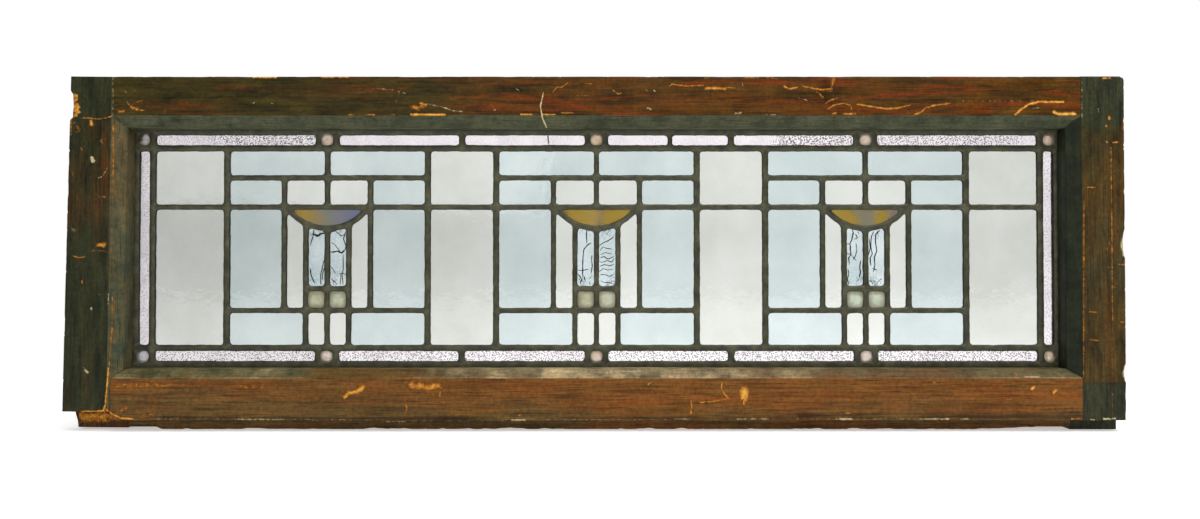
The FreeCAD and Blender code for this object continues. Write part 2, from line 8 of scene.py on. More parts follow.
import bmesh
import bpy
import numpy as np
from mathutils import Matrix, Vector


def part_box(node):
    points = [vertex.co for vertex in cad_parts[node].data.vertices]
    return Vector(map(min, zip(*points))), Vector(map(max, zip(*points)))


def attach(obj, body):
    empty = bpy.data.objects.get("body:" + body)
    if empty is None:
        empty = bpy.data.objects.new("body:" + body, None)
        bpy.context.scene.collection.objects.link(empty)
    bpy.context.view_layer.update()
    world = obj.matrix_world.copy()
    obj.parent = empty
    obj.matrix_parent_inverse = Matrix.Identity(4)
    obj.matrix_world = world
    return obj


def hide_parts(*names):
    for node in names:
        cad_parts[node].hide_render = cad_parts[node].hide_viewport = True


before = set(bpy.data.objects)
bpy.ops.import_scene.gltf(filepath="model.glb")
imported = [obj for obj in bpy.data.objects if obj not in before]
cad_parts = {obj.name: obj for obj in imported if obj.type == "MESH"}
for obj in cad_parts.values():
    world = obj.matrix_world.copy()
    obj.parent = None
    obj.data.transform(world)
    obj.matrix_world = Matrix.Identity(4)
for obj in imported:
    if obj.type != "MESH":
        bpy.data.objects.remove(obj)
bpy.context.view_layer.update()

MM = 0.001
PHOTO_WIDE, PHOTO_HIGH = 1200, 519
EDGES = ("top", "bottom", "left", "right")
SIDES = (-1, 1)


def node_span(node):
    """Lowest and highest corner of a solid, in millimetres."""
    low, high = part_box(node)
    return np.array(low) / MM, np.array(high) / MM


# The sash, from its solids
STILE_LOW, STILE_HIGH = node_span("right_stile")
FACE, BACK = STILE_LOW[1], STILE_HIGH[1]
SASH_HALF, SASH_HIGH = STILE_HIGH[0], STILE_HIGH[2]
SASH_THICK = BACK - FACE
GLASS_FRONT, GLASS_BACK = (corner[1] for corner in node_span("clear_panes_upper"))

# Sections of the wood
STILE_WIDE, TOP_WIDE, BOTTOM_WIDE = 50.0, 45.5, 47.0
BEVEL_WIDE, BEVEL_DEEP = 13.9, 9.5
TOP_BEVEL, BOTTOM_RISE, BOTTOM_BEVEL = 12.4, 1.6, 9.3
PANEL_DEEP = 28.5
RABBET_CUT = 10.0
SHOULDER = STILE_WIDE + BEVEL_WIDE - RABBET_CUT
LIP_DROP, LIP_FRONT = 14.0, 22.2
LIP_SHORT, LIP_EDGE, LEAN_GAP = 2.6, 2.0, 3.2
LEFT_FOOT, RIGHT_FOOT = 24.0, 14.0
LEFT_LEAN = math.radians(0.5)
SIGHT_HALF = SASH_HALF - STILE_WIDE - BEVEL_WIDE
TENON_BACK, TENON_FRONT, TENON_SUNK = 24.7, 12.0, 0.9
TENON_HEIGHTS = ((26.0, 56.0), (SASH_HIGH - 42.0, SASH_HIGH - 12.0))
SEAM = 0.15
STATION = 2.2

# Lead lines, from the middle of the sash and from the underside of its lip
FIELD_LOW, BASE_LINE, OPAL_LINE = 94.4, 138.6, 164.4
CHORD_LINE, SECOND_LINE, FIELD_HIGH = 260.8, 295.5, 330.5
BORDER_BAND = 21.7
EDGE_LOW, EDGE_HIGH = FIELD_LOW - BORDER_BAND, FIELD_HIGH + BORDER_BAND
FIELD_HALF = 524.7
EDGE_HALF = FIELD_HALF + BORDER_BAND
MOTIFS = {"left": -318.3, "centre": 0.0, "right": 318.3}
MOTIF_HALF, FLANK, SLOT = 118.7, 50.9, 25.4
JEWEL_HALF, COLUMN_MIDDLE, MEND_LINE = 10.4, 159.15, 87.1
BOW_RADIUS, BOW_DROP = 58.75, 25.2
BOW_MIDDLE = CHORD_LINE + BOW_RADIUS - BOW_DROP
BOW_FOOT = CHORD_LINE - BOW_DROP
BOW_SPREAD = math.sqrt(BOW_RADIUS ** 2 - (BOW_RADIUS - BOW_DROP) ** 2)
SLOT_HEAD = BOW_MIDDLE - math.sqrt(BOW_RADIUS ** 2 - SLOT ** 2)
MAIN_HALF, FINE_HALF, EDGE_CAME_HALF, MEND_HALF, HEART_HALF = 3.6, 3.1, 6.2, 2.7, 0.8

# The camera, and the photograph's frame through it
LENS, SENSOR = 27.65, 36.0
FOCAL = LENS / SENSOR * PHOTO_WIDE
EYE = np.array([4.2, FACE - 1059.0, 183.4])
PITCH = math.radians(0.81)


def in_photo(points):
    """Where points of the sash show in the photograph's frame, in its pixels."""
    away = points - EYE
    deep = away[..., 1] * math.cos(PITCH) + away[..., 2] * math.sin(PITCH)
    up = away[..., 2] * math.cos(PITCH) - away[..., 1] * math.sin(PITCH)
    return PHOTO_WIDE / 2 + FOCAL * away[..., 0] / deep, PHOTO_HIGH / 2 - FOCAL * up / deep


def on_plane(spots, depth):
    """Points of an upright plane that show at these pixels, as (x, z)."""
    across = (np.array(spots)[:, 0] - PHOTO_WIDE / 2) / FOCAL
    up = (PHOTO_HIGH / 2 - np.array(spots)[:, 1]) / FOCAL
    reach = (depth - EYE[1]) / (math.cos(PITCH) - up * math.sin(PITCH))
    rise = math.sin(PITCH) + up * math.cos(PITCH)
    return np.stack([EYE[0] + across * reach, EYE[2] + rise * reach], axis=1)


NOISE_TABLE = 256


def value_noise(u, v, seed):
    """Smooth seeded noise from 0 to 1."""
    table = np.random.default_rng(seed).random((NOISE_TABLE, NOISE_TABLE))
    u, v = np.broadcast_arrays(np.asarray(u, float), np.asarray(v, float))
    column, row = np.floor(u).astype(int), np.floor(v).astype(int)
    s, t = smooth_step(u - column, 0, 1), smooth_step(v - row, 0, 1)

    def at(i, j):
        return table[(column + i) % NOISE_TABLE, (row + j) % NOISE_TABLE]

    near, far = (at(0, j) * (1 - s) + at(1, j) * s for j in (0, 1))
    return near * (1 - t) + far * t


def rough_noise(u, v, seed):
    """Three octaves of the noise, from 0 to 1."""
    octaves = [value_noise(u * 2 ** k, v * 2 ** k, seed + k) * 0.5 ** k for k in range(3)]
    return sum(octaves) / 1.75


def smooth_step(values, low, high):
    share = np.clip((values - low) / (high - low), 0, 1)
    return share * share * (3 - 2 * share)


# Materials


def rgb(red, green, blue):
    """A screen colour of 0 to 255 as linear light."""
    channels = [c / 255 for c in (red, green, blue)]
    return tuple(c / 12.92 if c <= 0.04045 else ((c + 0.055) / 1.055) ** 2.4 for c in channels) + (1.0,)


class Signal:
    """A node's output, which can be added to, subtracted, multiplied and divided."""

    def __init__(self, nodes, socket):
        self.nodes, self.socket = nodes, socket

    def __add__(self, other):
        return self.nodes.math("ADD", self, other)

    def __sub__(self, other):
        return self.nodes.math("SUBTRACT", self, other)

    def __rsub__(self, other):
        return self.nodes.math("SUBTRACT", other, self)

    def __mul__(self, other):
        return self.nodes.math("MULTIPLY", self, other)

    def __truediv__(self, other):
        return self.nodes.math("DIVIDE", self, other)


class Nodes:
    """A node tree under construction, with short calls for its nodes."""

    def __init__(self, tree):
        self.tree = tree

    def feed(self, socket, value):
        if isinstance(value, Signal):
            self.tree.links.new(value.socket, socket)
        else:
            socket.default_value = value

    def node(self, kind, output, values=None, **settings):
        """One output of a new node; values go to its inputs."""
        made = self.tree.nodes.new(kind)
        for name, value in settings.items():
            setattr(made, name, value)
        for name, value in (values or {}).items():
            self.feed(made.inputs[name], value)
        return Signal(self, made.outputs[output])

    def ramp(self, factor, *stops):
        """A ramp through (position, colour) stops; a plain number stands for a grey."""
        made = self.node("ShaderNodeValToRGB", "Color", {"Fac": factor})
        elements = made.socket.node.color_ramp.elements
        while len(elements) < len(stops):
            elements.new(1.0)
        for element, (position, colour) in zip(elements, stops):
            element.position = position
            element.color = colour if isinstance(colour, tuple) else (colour, colour, colour, 1.0)
        return made

    def math(self, operation, first, second):
        return self.node("ShaderNodeMath", 0, {0: first, 1: second}, operation=operation)

    def part(self, vector, axis):
        return self.node("ShaderNodeSeparateXYZ", axis, {"Vector": vector})


class Shader(Nodes):
    """A material under construction."""

    def __init__(self, name):
        self.material = bpy.data.materials.new(name)
        self.material.use_nodes = True
        super().__init__(self.material.node_tree)
        self.place = self.node("ShaderNodeTexCoord", "Object")

    def set(self, **values):
        surface = self.tree.nodes["Principled BSDF"]
        for name, value in values.items():
            self.feed(surface.inputs[name.replace("_", " ")], value)

    def glass(self, colour, roughness, transmission=1.0):
        self.set(Base_Color=colour, Roughness=roughness, Transmission_Weight=transmission, IOR=1.5)

    def noise(self, scale, detail=4.0, stretch=(1, 1, 1), rough=0.55, distortion=0.0):
        place = self.node("ShaderNodeMapping", 0, {"Vector": self.place, "Scale": stretch})
        values = {"Vector": place, "Scale": scale, "Detail": detail, "Roughness": rough}
        return self.node("ShaderNodeTexNoise", "Fac", values | {"Distortion": distortion})

    def cells(self, scale, feature="F1"):
        return self.node("ShaderNodeTexVoronoi", "Distance", {"Vector": self.place, "Scale": scale},
                         feature=feature)

    def mix(self, factor, first, second, blend="MIX"):
        return self.node("ShaderNodeMix", 2, {0: factor, 6: first, 7: second}, data_type="RGBA",
                         blend_type=blend)

    def centred(self, noise, reach):
        """Noise about zero."""
        return (noise - 0.5) * reach

    def between(self, noise, pair, low=0.36, high=0.64):
        """A pair's dark colour to its light one, as noise rises."""
        return self.ramp(noise, (low, pair[0]), (high, pair[1]))

    def painted(self, name):
        """A value that the mesh carries at its points."""
        return self.node("ShaderNodeAttribute", "Fac", attribute_name=name)

    def near(self, name):
        """Where a painted value is more than nothing."""
        return self.ramp(self.painted(name), (0.02, 0.0), (0.25, 1.0))

    def ragged(self, name, noise, low, high):
        """A painted value with its edge broken up by noise, as a mask."""
        return self.ramp(self.painted(name) + self.centred(noise, 1.5), (low, 0.0), (high, 1.0))

    def bump(self, height, strength, distance):
        values = {"Height": height, "Strength": strength, "Distance": distance}
        self.set(Normal=self.node("ShaderNodeBump", 0, values))


RAW_BROWN, RAW_ORANGE, RAW_YELLOW = rgb(106, 64, 22), rgb(180, 114, 36), rgb(212, 170, 78)
PALE_SCRATCH, GRIME = rgb(206, 192, 146), rgb(15, 15, 9)


def wear_finish(shader, colour, specks, patches):
    """Adds rubbed arrises and the painted marks to a finish; also returns where the wood is bare."""
    rubbed = shader.ragged("edge", shader.noise(60.0, 6.0, rough=0.7), 1.02, 1.22)
    colour = shader.mix(rubbed * 0.7, colour, RAW_ORANGE)
    tone = shader.painted("bare") + shader.centred(specks, 2.0)
    raw = shader.ramp(tone, (0.46, RAW_BROWN), (0.75, RAW_ORANGE), (1.0, RAW_YELLOW))
    bare = shader.ramp(tone, (0.30, 0.0), (0.64, 1.0)) * shader.near("bare")
    colour = shader.mix(bare, colour, raw)
    scratch = shader.painted("pale") + shader.centred(specks, 2.6)
    pale = shader.ramp(scratch, (0.40, 0.0), (0.80, 0.8)) * shader.near("pale")
    colour = shader.mix(pale, colour, PALE_SCRATCH)
    return shader.mix(shader.ragged("dark", patches, 0.30, 0.95), colour, GRIME), bare


def wood(name, along, cool, warm, streak, dust, grain_depth=0.5, flare=0.8):
    """Stained softwood under worn varnish; along is the axis of its grain.

    cool and warm are (dark, light) pairs of the stain; the pairs after them colour the coat on the bevels,
    and for the right stile they are painted shade, darker as if its bevel and wall face away from the light.
    """
    shader = Shader(name)

    def grained(lengthways, crossways, *texture):
        stretch = tuple(lengthways if axis == along else crossways for axis in "xyz")
        return shader.noise(1.0, texture[0], stretch, *texture[1:])

    grain, clouds = grained(6.0, 300.0, 6.0, 0.65, 0.4), grained(22.0, 70.0, 6.0, 0.62, 0.6)
    pore = shader.ramp(grained(30.0, 1000.0, 2.0), (0.34, 1.0), (0.46, 0.0))
    patches = shader.noise(14.0, 5.0)
    specks = shader.noise(210.0, 3.0) * 0.5 + shader.noise(850.0, 3.0, rough=0.7) * 0.5
    tone = shader.painted("warm") + shader.centred(patches, 1.3)
    warmth = shader.ramp(tone, (0.2, 0.0), (0.8, 1.0))
    mottle = clouds * (1 - grain_depth) + grain * grain_depth
    colour = shader.mix(warmth, shader.between(mottle, cool), shader.between(mottle, warm))
    flame = shader.ramp(grained(5.0, 95.0, 4.0, 0.6, 1.2), (0.52, 0.0), (0.60, 1.0), (0.66, 0.8))
    flame = flame * shader.ramp(tone, (0.05, 0.12), (0.7, flare))
    flame = flame * shader.ramp(mottle, (0.36, 0.5), (0.56, 1.0))
    colour = shader.mix(flame, colour, streak)
    settled = shader.noise(38.0, 5.0, rough=0.6)
    # Coat on the bevels and walls; on the right stile its colours are painted shade, darker as if turned
    # away from the light.
    dust_and_shade_colour = shader.mix(warmth, *(shader.between(settled, pair) for pair in dust))
    colour = shader.mix(shader.ragged("dust", patches, 0.30, 0.80), colour, dust_and_shade_colour)
    colour = shader.mix(pore * 0.5, colour, GRIME)
    colour = shader.mix(0.7, colour, shader.between(specks, (0.52, 1.42)), "MULTIPLY")
    colour, bare = wear_finish(shader, colour, specks, patches)
    gloss = shader.ramp(patches, (0.35, 0.36), (0.7, 0.55))
    shader.set(Base_Color=colour, Specular_IOR_Level=0.10)
    shader.set(Roughness=shader.mix(bare, gloss, (0.8, 0.8, 0.8, 1.0)))
    shader.bump(grain + pore * -0.8, 0.3, 0.0004)
    return shader.material


def lead():
    """Old came: dull olive-grey lead, darker along the edges of its leaves with cement and painted shade,
    paler where it is soldered.
    """
    shader = Shader("old_lead")
    mottle = shader.noise(90.0, 6.0, rough=0.65)
    colour = shader.ramp(mottle, (0.35, rgb(38, 38, 23)), (0.52, rgb(58, 58, 38)), (0.72, rgb(84, 83, 58)))
    tin = shader.ragged("solder", shader.noise(160.0, 4.0), 0.55, 1.0)
    colour = shader.mix(tin * 0.4, colour, rgb(88, 87, 66))
    # Darkening along the leaves' edges: partly dark cement, partly painted shade of the gaps beside the
    # glass and the wood.
    edge_cement_and_shade = shader.painted("rim") + shader.centred(shader.noise(320.0, 3.0), 0.6)
    colour = shader.mix(shader.ramp(edge_cement_and_shade, (0.55, 0.0), (0.85, 0.92)), colour, rgb(22, 20, 11))
    shader.set(Base_Color=colour, Metallic=0.3, Roughness=shader.ramp(mottle, (0.3, 0.42), (0.7, 0.6)))
    shader.bump(shader.noise(260.0, 5.0), 0.5, 0.0005)
    return shader.material


def sheet_glass(name, tint, shade):
    """Old drawn glass: a tint that varies softly, fine seeds and a wavy face."""
    shader = Shader(name)
    seeds = shader.ramp(shader.noise(380.0, 2.0), (0.24, 0.6), (0.31, 0.0))
    colour = shader.between(shader.noise(14.0, 5.0), (shade, tint), 0.32, 0.66)
    shader.glass(shader.mix(seeds * 0.4, colour, rgb(150, 150, 140)), 0.03)
    shader.bump(shader.noise(60.0, 3.0), 0.25, 0.0006)
    return shader.material


def granular_glass(name, pitting):
    """Border glass: lavender-white with a pitted face; pitting is a list of (x in millimetres, amount)."""
    shader = Shader(name)
    dots, grains = shader.cells(500.0), shader.noise(700.0, 2.0)
    across = shader.part(shader.place, "X") * (0.5 / (EDGE_HALF * MM)) + 0.5
    amount = shader.ramp(across, *((0.5 + x / (2 * EDGE_HALF), density) for x, density in pitting))
    radius = shader.ramp(amount, (0.2, 0.08), (0.6, 0.25), (1.0, 0.31)) + shader.centred(grains, 0.3)
    pits = shader.ramp(dots - radius, (0.0, 1.0), (0.11, 0.0))
    pits = pits * shader.ramp(amount, (0.2, 0.45), (0.6, 0.95), (0.9, 1.0))
    colour = shader.between(shader.noise(30.0, 3.0), (rgb(239, 232, 236), rgb(253, 248, 251)), 0.35, 0.65)
    shader.glass(shader.mix(pits, colour, rgb(30, 25, 26)), 0.08)
    shader.bump(grains + dots, 0.12, 0.001)
    return shader.material


def crackle_glass():
    """Crackled glass: pale blue sheet, broken into fine facets towards the ends of its panes."""
    shader = Shader("crackle_glass")
    cells, places = shader.cells(190.0, "DISTANCE_TO_EDGE"), shader.noise(75.0, 3.0)
    facets = shader.ramp(cells, (0.02, 1.0), (0.10, 0.0)) * shader.ramp(places, (0.46, 0.0), (0.58, 0.9))
    height = (shader.part(shader.place, "Z") - OPAL_LINE * MM) / ((BOW_FOOT - OPAL_LINE) * MM)
    facets = facets * shader.ramp(height, (0.12, 1.0), (0.32, 0.0), (0.75, 0.0), (0.95, 0.8))
    colour = shader.between(shader.noise(25.0, 4.0), (rgb(204, 221, 224), rgb(233, 244, 246)), 0.35, 0.65)
    roughness = shader.ramp(places, (0.4, 0.03), (0.65, 0.10))
    shader.glass(shader.mix(facets, colour, rgb(50, 56, 58)), roughness)
    shader.bump(cells + places, 0.2, 0.0008)
    return shader.material


def opal_glass(name, cream, grey, dirt, transmission):
    """Opal lumps: cream to pearly grey clouds, dirty in places and brown round the rim."""
    shader = Shader(name)
    swirl = shader.noise(110.0, 4.0, distortion=0.8)
    clouds = (shader.between(swirl, pair, 0.34, 0.62) for pair in (cream, grey))
    colour = shader.mix(shader.painted("pearl"), *clouds)
    colour = shader.mix(shader.ragged("dirt", shader.noise(330.0, 3.0), 0.45, 0.75), colour, dirt)
    rim = shader.painted("rim") + shader.centred(shader.noise(240.0, 3.0), 0.4)
    colour = shader.mix(shader.ramp(rim, (0.36, 0.0), (1.0, 0.95)), colour, dirt)
    shader.glass(colour, shader.ramp(swirl, (0.3, 0.35), (0.7, 0.5)), transmission)
    shader.set(Specular_IOR_Level=0.3)
    shader.bump(shader.noise(150.0, 3.0), 0.15, 0.0005)
    return shader.material


def streaky_glass(name, middle, stops):
    """A half-moon's glass: bands of colour across the motif, drawn out into each other."""
    shader = Shader(name)
    spread = 2 * BOW_SPREAD
    across = shader.part(shader.place, "X") * (1 / (spread * MM)) + (0.5 - middle / spread)
    drawn = shader.centred(shader.noise(45.0, 4.0, (1, 1, 1.8)), 0.45)
    shader.glass(shader.ramp(across + drawn, *stops), 0.2, 0.55)
    shader.bump(shader.noise(70.0, 3.0), 0.2, 0.0006)
    return shader.material


def crack_edge():
    """Broken glass edges that have filled with dirt."""
    shader = Shader("crack_dirt")
    colour = shader.between(shader.noise(900.0, 3.0), (rgb(8, 9, 8), rgb(34, 36, 36)), 0.35, 0.7)
    shader.set(Base_Color=colour)
    shader.set(Specular_IOR_Level=0.2, Roughness=shader.ramp(shader.noise(500.0), (0.3, 0.5), (0.7, 0.9)))
    return shader.material


# Meshes


def make_piece(name, points, faces, material, slot, *nodes, flat_faces=(), **painted):
    """A mesh piece on the one body, in place of its solids, with values painted on its points."""
    mesh = bpy.data.meshes.new(name)
    mesh.from_pydata((np.asarray(points) * MM).tolist(), [], faces)
    smooth = np.ones(len(faces), bool)
    smooth[list(flat_faces)] = False
    mesh.polygons.foreach_set("use_smooth", smooth)
    for key, values in painted.items():
        paint(mesh, key, values)
    mesh.materials.append(material)
    mesh.update()
    piece = bpy.data.objects.new(name, mesh)
    bpy.context.scene.collection.objects.link(piece)
    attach(piece, "root")
    if nodes:
        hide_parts(*nodes)
    return piece


def paint(mesh, key, values):
    layer = mesh.attributes.new(key, "FLOAT", "POINT")
    layer.data.foreach_set("value", np.asarray(values, np.float32).ravel())


def face_outwards(piece):
    """Turns every face of a closed mesh outwards."""
    shape = bmesh.new()
    shape.from_mesh(piece.data)
    bmesh.ops.recalc_face_normals(shape, faces=shape.faces)
    shape.to_mesh(piece.data)
    shape.free()


# Wear that the photograph shows: tone, strength, half width and pixels of each mark's line
TOP_RAIL_MARKS = [
    ("pale", 0.55, 0.5, [(112.9, 77), (112.9, 115)]),
    ("bare", 0.60, 1.0, [(125, 91), (126, 92)]),
    ("bare", 0.55, 0.9, [(134, 90), (135, 91)]),
    ("pale", 0.60, 1.0, [(127, 103), (129, 105)]),
    ("bare", 0.70, 0.6, [(137, 102), (143, 100)]),
    ("bare", 0.70, 1.5, [(119, 111.5), (124, 111)]),
    ("bare", 0.75, 2.2, [(132, 107), (137, 109)]),
    ("bare", 0.65, 1.1, [(141, 110), (144, 110)]),
    ("bare", 0.45, 0.8, [(165, 107), (165, 113)]),
    ("bare", 0.50, 0.6, [(179, 104), (187, 103.5)]),
    ("pale", 0.60, 0.8, [(252, 103), (254, 103)]),
    ("pale", 0.65, 0.9, [(271, 103), (273, 104)]),
    ("bare", 0.90, 1.3, [(254, 77), (276, 77)]),
    ("bare", 0.70, 1.0, [(322, 77), (348, 77)]),
    ("pale", 0.50, 0.6, [(373, 88), (391, 89.6), (401, 92), (414, 96)]),
    ("bare", 0.45, 0.8, [(396, 102), (401, 88)]),
    ("bare", 0.62, 2.6, [(412, 107), (419, 108), (426, 105)]),
    ("bare", 0.75, 1.3, [(420, 103), (426, 105)]),
    ("pale", 0.60, 0.6, [(428, 104), (441, 106.6), (453, 110.7), (462, 111.4)]),
    ("bare", 0.60, 0.8, [(348, 114.6), (355, 114.6)]),
    ("bare", 0.75, 0.9, [(366, 114.6), (374, 114.6)]),
    ("bare", 0.60, 0.8, [(390, 114.4), (395, 114.4)]),
    ("bare", 0.90, 1.3, [(411, 114.4), (445, 114.6)]),
    ("bare", 0.85, 1.1, [(521, 114.4), (532, 114.4)]),
    ("bare", 0.80, 0.9, [(542, 114.4), (556, 114.6)]),
    ("bare", 0.60, 1.1, [(562, 113), (573, 112.8)]),
    ("pale", 1.00, 0.6, [(543.4, 93), (540.4, 106), (542.5, 118), (548.2, 131.6)]),
    ("bare", 0.75, 0.7, [(553, 92), (557, 87), (562, 87), (567.5, 83)]),
    ("bare", 0.60, 0.9, [(585, 83.4), (592, 83.6)]),
    ("bare", 0.50, 0.8, [(578, 95.4), (588, 95.4)]),
    ("pale", 0.55, 0.9, [(492.5, 106.6), (495, 110)]),
    ("pale", 0.45, 0.9, [(516, 88), (518, 90)]),
    ("bare", 0.70, 0.8, [(613.4, 90.5), (618, 94), (621.4, 93)]),
    ("bare", 0.70, 0.9, [(646, 89.6), (647, 90)]),
    ("pale", 0.65, 0.9, [(654, 90), (655, 91)]),
    ("bare", 0.75, 0.7, [(669.6, 86), (672.3, 84), (686, 86), (703.6, 85.2)]),
    ("bare", 0.75, 1.7, [(706, 88.4), (716, 88), (725, 88.8)]),
    ("bare", 0.60, 0.9, [(727, 87.3), (735, 88)]),
    ("pale", 0.60, 0.7, [(742.9, 83), (742.9, 86)]),
    ("bare", 0.70, 1.0, [(705, 78), (709, 77.6)]),
    ("bare", 0.65, 1.0, [(745, 77.5), (759, 77.5)]),
    ("bare", 0.60, 0.8, [(766, 77.5), (777, 78.4)]),
    ("bare", 0.75, 1.2, [(784, 86.4), (790, 88.8), (797, 87.3)]),
    ("bare", 0.70, 1.1, [(802, 85.7), (814, 88.4), (823, 89.6), (832, 88)]),
    ("bare", 0.58, 2.2, [(834, 77), (831, 89.6)]),
    ("bare", 0.65, 1.0, [(817, 92), (823, 97)]),
    ("bare", 0.65, 0.9, [(826, 103), (831, 100), (837.5, 98)]),
    ("pale", 0.50, 0.7, [(799, 97.7), (807, 100.4)]),
    ("bare", 0.75, 0.7, [(827.7, 109), (834, 105), (844, 103), (851, 105.7), (852, 110)]),
    ("bare", 0.70, 1.2, [(844, 113.8), (855.4, 113.8)]),
    ("bare", 0.65, 1.0, [(832, 113.8), (837, 113)]),
    ("bare", 0.75, 1.2, [(857, 104), (868, 106), (880, 107.8), (887, 108.9), (897, 108), (910, 105.2)]),
    ("bare", 0.75, 1.1, [(913.6, 115), (921.6, 112), (926, 107.5), (937, 104.8), (949, 103.4)]),
    ("pale", 0.36, 0.8, [(961, 101), (985, 100.8), (1009, 100.8), (1034, 100.4)]),
    ("bare", 0.85, 1.5, [(1015.4, 114.6), (1020.7, 109.6), (1028.8, 104), (1038.6, 101.8), (1063.6, 102)]),
    ("pale", 0.50, 0.8, [(1033, 108), (1041, 108)]),
    ("bare", 0.95, 1.8, [(1054, 112), (1058, 113.8), (1075, 113.8)]),
    ("pale", 0.50, 0.8, [(766, 114.6), (776, 114.6)]),
    ("pale", 0.60, 1.2, [(648, 108), (650, 109)]),
    ("pale", 0.60, 1.3, [(736, 113), (741, 112.8)]),
    ("pale", 0.55, 0.5, [(1082, 78), (1082, 117)]),
]
STILE_MARKS = [
    ("bare", 0.70, 0.7, [(81, 118), (89, 118), (98, 119), (106, 118), (112, 116)]),
    ("bare", 0.75, 2.0, [(91, 121), (91.4, 125)]),
    ("bare", 0.60, 1.1, [(71, 118), (71, 134)]),
    ("bare", 0.48, 1.5, [(76, 125), (79, 130)]),
    ("bare", 0.52, 0.9, [(73, 123), (77, 122.4)]),
    ("bare", 0.50, 0.8, [(76, 132), (80, 131)]),
    ("pale", 0.45, 0.7, [(96, 136), (101, 140)]),
    ("bare", 0.48, 1.0, [(99, 197), (101, 199)]),
    ("bare", 0.50, 1.0, [(81, 148), (82, 150)]),
    ("bare", 0.55, 1.2, [(100, 140), (102, 143)]),
    ("pale", 0.85, 2.2, [(92, 158), (93, 161)]),
    ("pale", 0.50, 0.5, [(108, 166), (103, 176), (98, 178)]),
    ("bare", 0.50, 0.9, [(72, 173), (73, 175)]),
    ("pale", 0.45, 1.0, [(98, 197), (107, 196.6)]),
    ("bare", 0.66, 0.8, [(113, 119), (113, 184)]),
    ("bare", 0.48, 0.7, [(112.6, 186), (111.5, 260)]),
    ("bare", 0.62, 0.8, [(112.4, 296), (111.8, 336)]),
    ("pale", 0.60, 0.6, [(108.6, 294), (108, 304)]),
    ("bare", 0.60, 0.8, [(111, 338), (109, 368)]),
    ("bare", 0.55, 1.0, [(125, 140), (125.4, 143)]),
    ("bare", 0.60, 0.9, [(127.4, 153), (127.6, 156)]),
    ("pale", 0.45, 2.0, [(72, 228), (75, 230)]),
    ("bare", 0.80, 2.4, [(99, 245), (104, 245)]),
    ("bare", 0.65, 0.8, [(73, 256), (79, 257.7), (85, 256.7)]),
    ("bare", 0.48, 1.2, [(90, 251), (98, 250), (107, 252)]),
    ("bare", 0.70, 1.0, [(82, 281), (82.4, 283)]),
    ("pale", 0.65, 1.2, [(91, 307), (91.2, 309)]),
    ("bare", 0.45, 1.0, [(99, 294), (99.4, 296)]),
    ("pale", 0.70, 1.7, [(84, 368), (87, 372)]),
    ("bare", 0.85, 1.0, [(108.4, 368), (106.7, 387.4), (105.2, 405), (103, 411)]),
    ("bare", 0.85, 1.0, [(103, 411), (82, 411.6)]),
    ("bare", 0.70, 7.0, [(79, 417), (106, 417)]),
    ("dark", 0.50, 2.0, [(84, 419), (97, 420)]),
    ("pale", 0.50, 1.0, [(1098.4, 107), (1098.4, 112)]),
    ("bare", 0.75, 1.5, [(1109, 116), (1109.2, 119)]),
    ("bare", 0.65, 1.1, [(1106, 125), (1106.2, 126.4)]),
    ("pale", 0.50, 0.9, [(1106, 140), (1107, 143)]),
    ("bare", 0.65, 1.0, [(1113, 142.4), (1118, 142)]),
    ("bare", 0.75, 1.1, [(1103, 78), (1110, 78)]),
    ("bare", 0.60, 1.2, [(1123.4, 121), (1123.6, 129)]),
    ("bare", 0.62, 0.7, [(1111, 147), (1112, 230), (1112.7, 324)]),
    ("bare", 0.45, 0.7, [(1112.7, 324), (1112.4, 413)]),
    ("bare", 0.75, 0.8, [(1087.7, 187), (1095, 187.5)]),
    ("bare", 0.70, 0.9, [(1109.6, 243), (1109.8, 244.4)]),
    ("bare", 0.60, 0.9, [(1107.4, 249), (1107.6, 251)]),
    ("pale", 0.55, 0.8, [(1107.6, 265), (1108.8, 268)]),
    ("bare", 0.70, 0.8, [(1089.5, 311.7), (1097, 312.2)]),
    ("bare", 0.60, 0.8, [(1090.2, 339.7), (1099, 340.6)]),
    ("bare", 0.60, 0.7, [(1112, 287), (1118, 287)]),
    ("bare", 0.65, 0.8, [(1118, 264.5), (1126, 264.5)]),
    ("bare", 0.60, 0.8, [(1121, 322), (1126, 322)]),
    ("bare", 0.55, 0.9, [(1084, 200), (1083.6, 376)]),
    ("bare", 0.70, 1.0, [(1084, 256), (1083.8, 260)]),
    ("pale", 0.80, 1.0, [(1091, 419.6), (1094, 419.8)]),
    ("pale", 0.80, 1.1, [(1104, 419), (1115, 418.6)]),
    ("pale", 0.70, 1.3, [(1124, 234), (1121.6, 245), (1124, 256)]),
    ("pale", 0.70, 1.2, [(1125.6, 366), (1123.4, 373), (1125.6, 381)]),
    ("dark", 0.55, 0.9, [(1084, 383.7), (1126, 383.7)]),
]
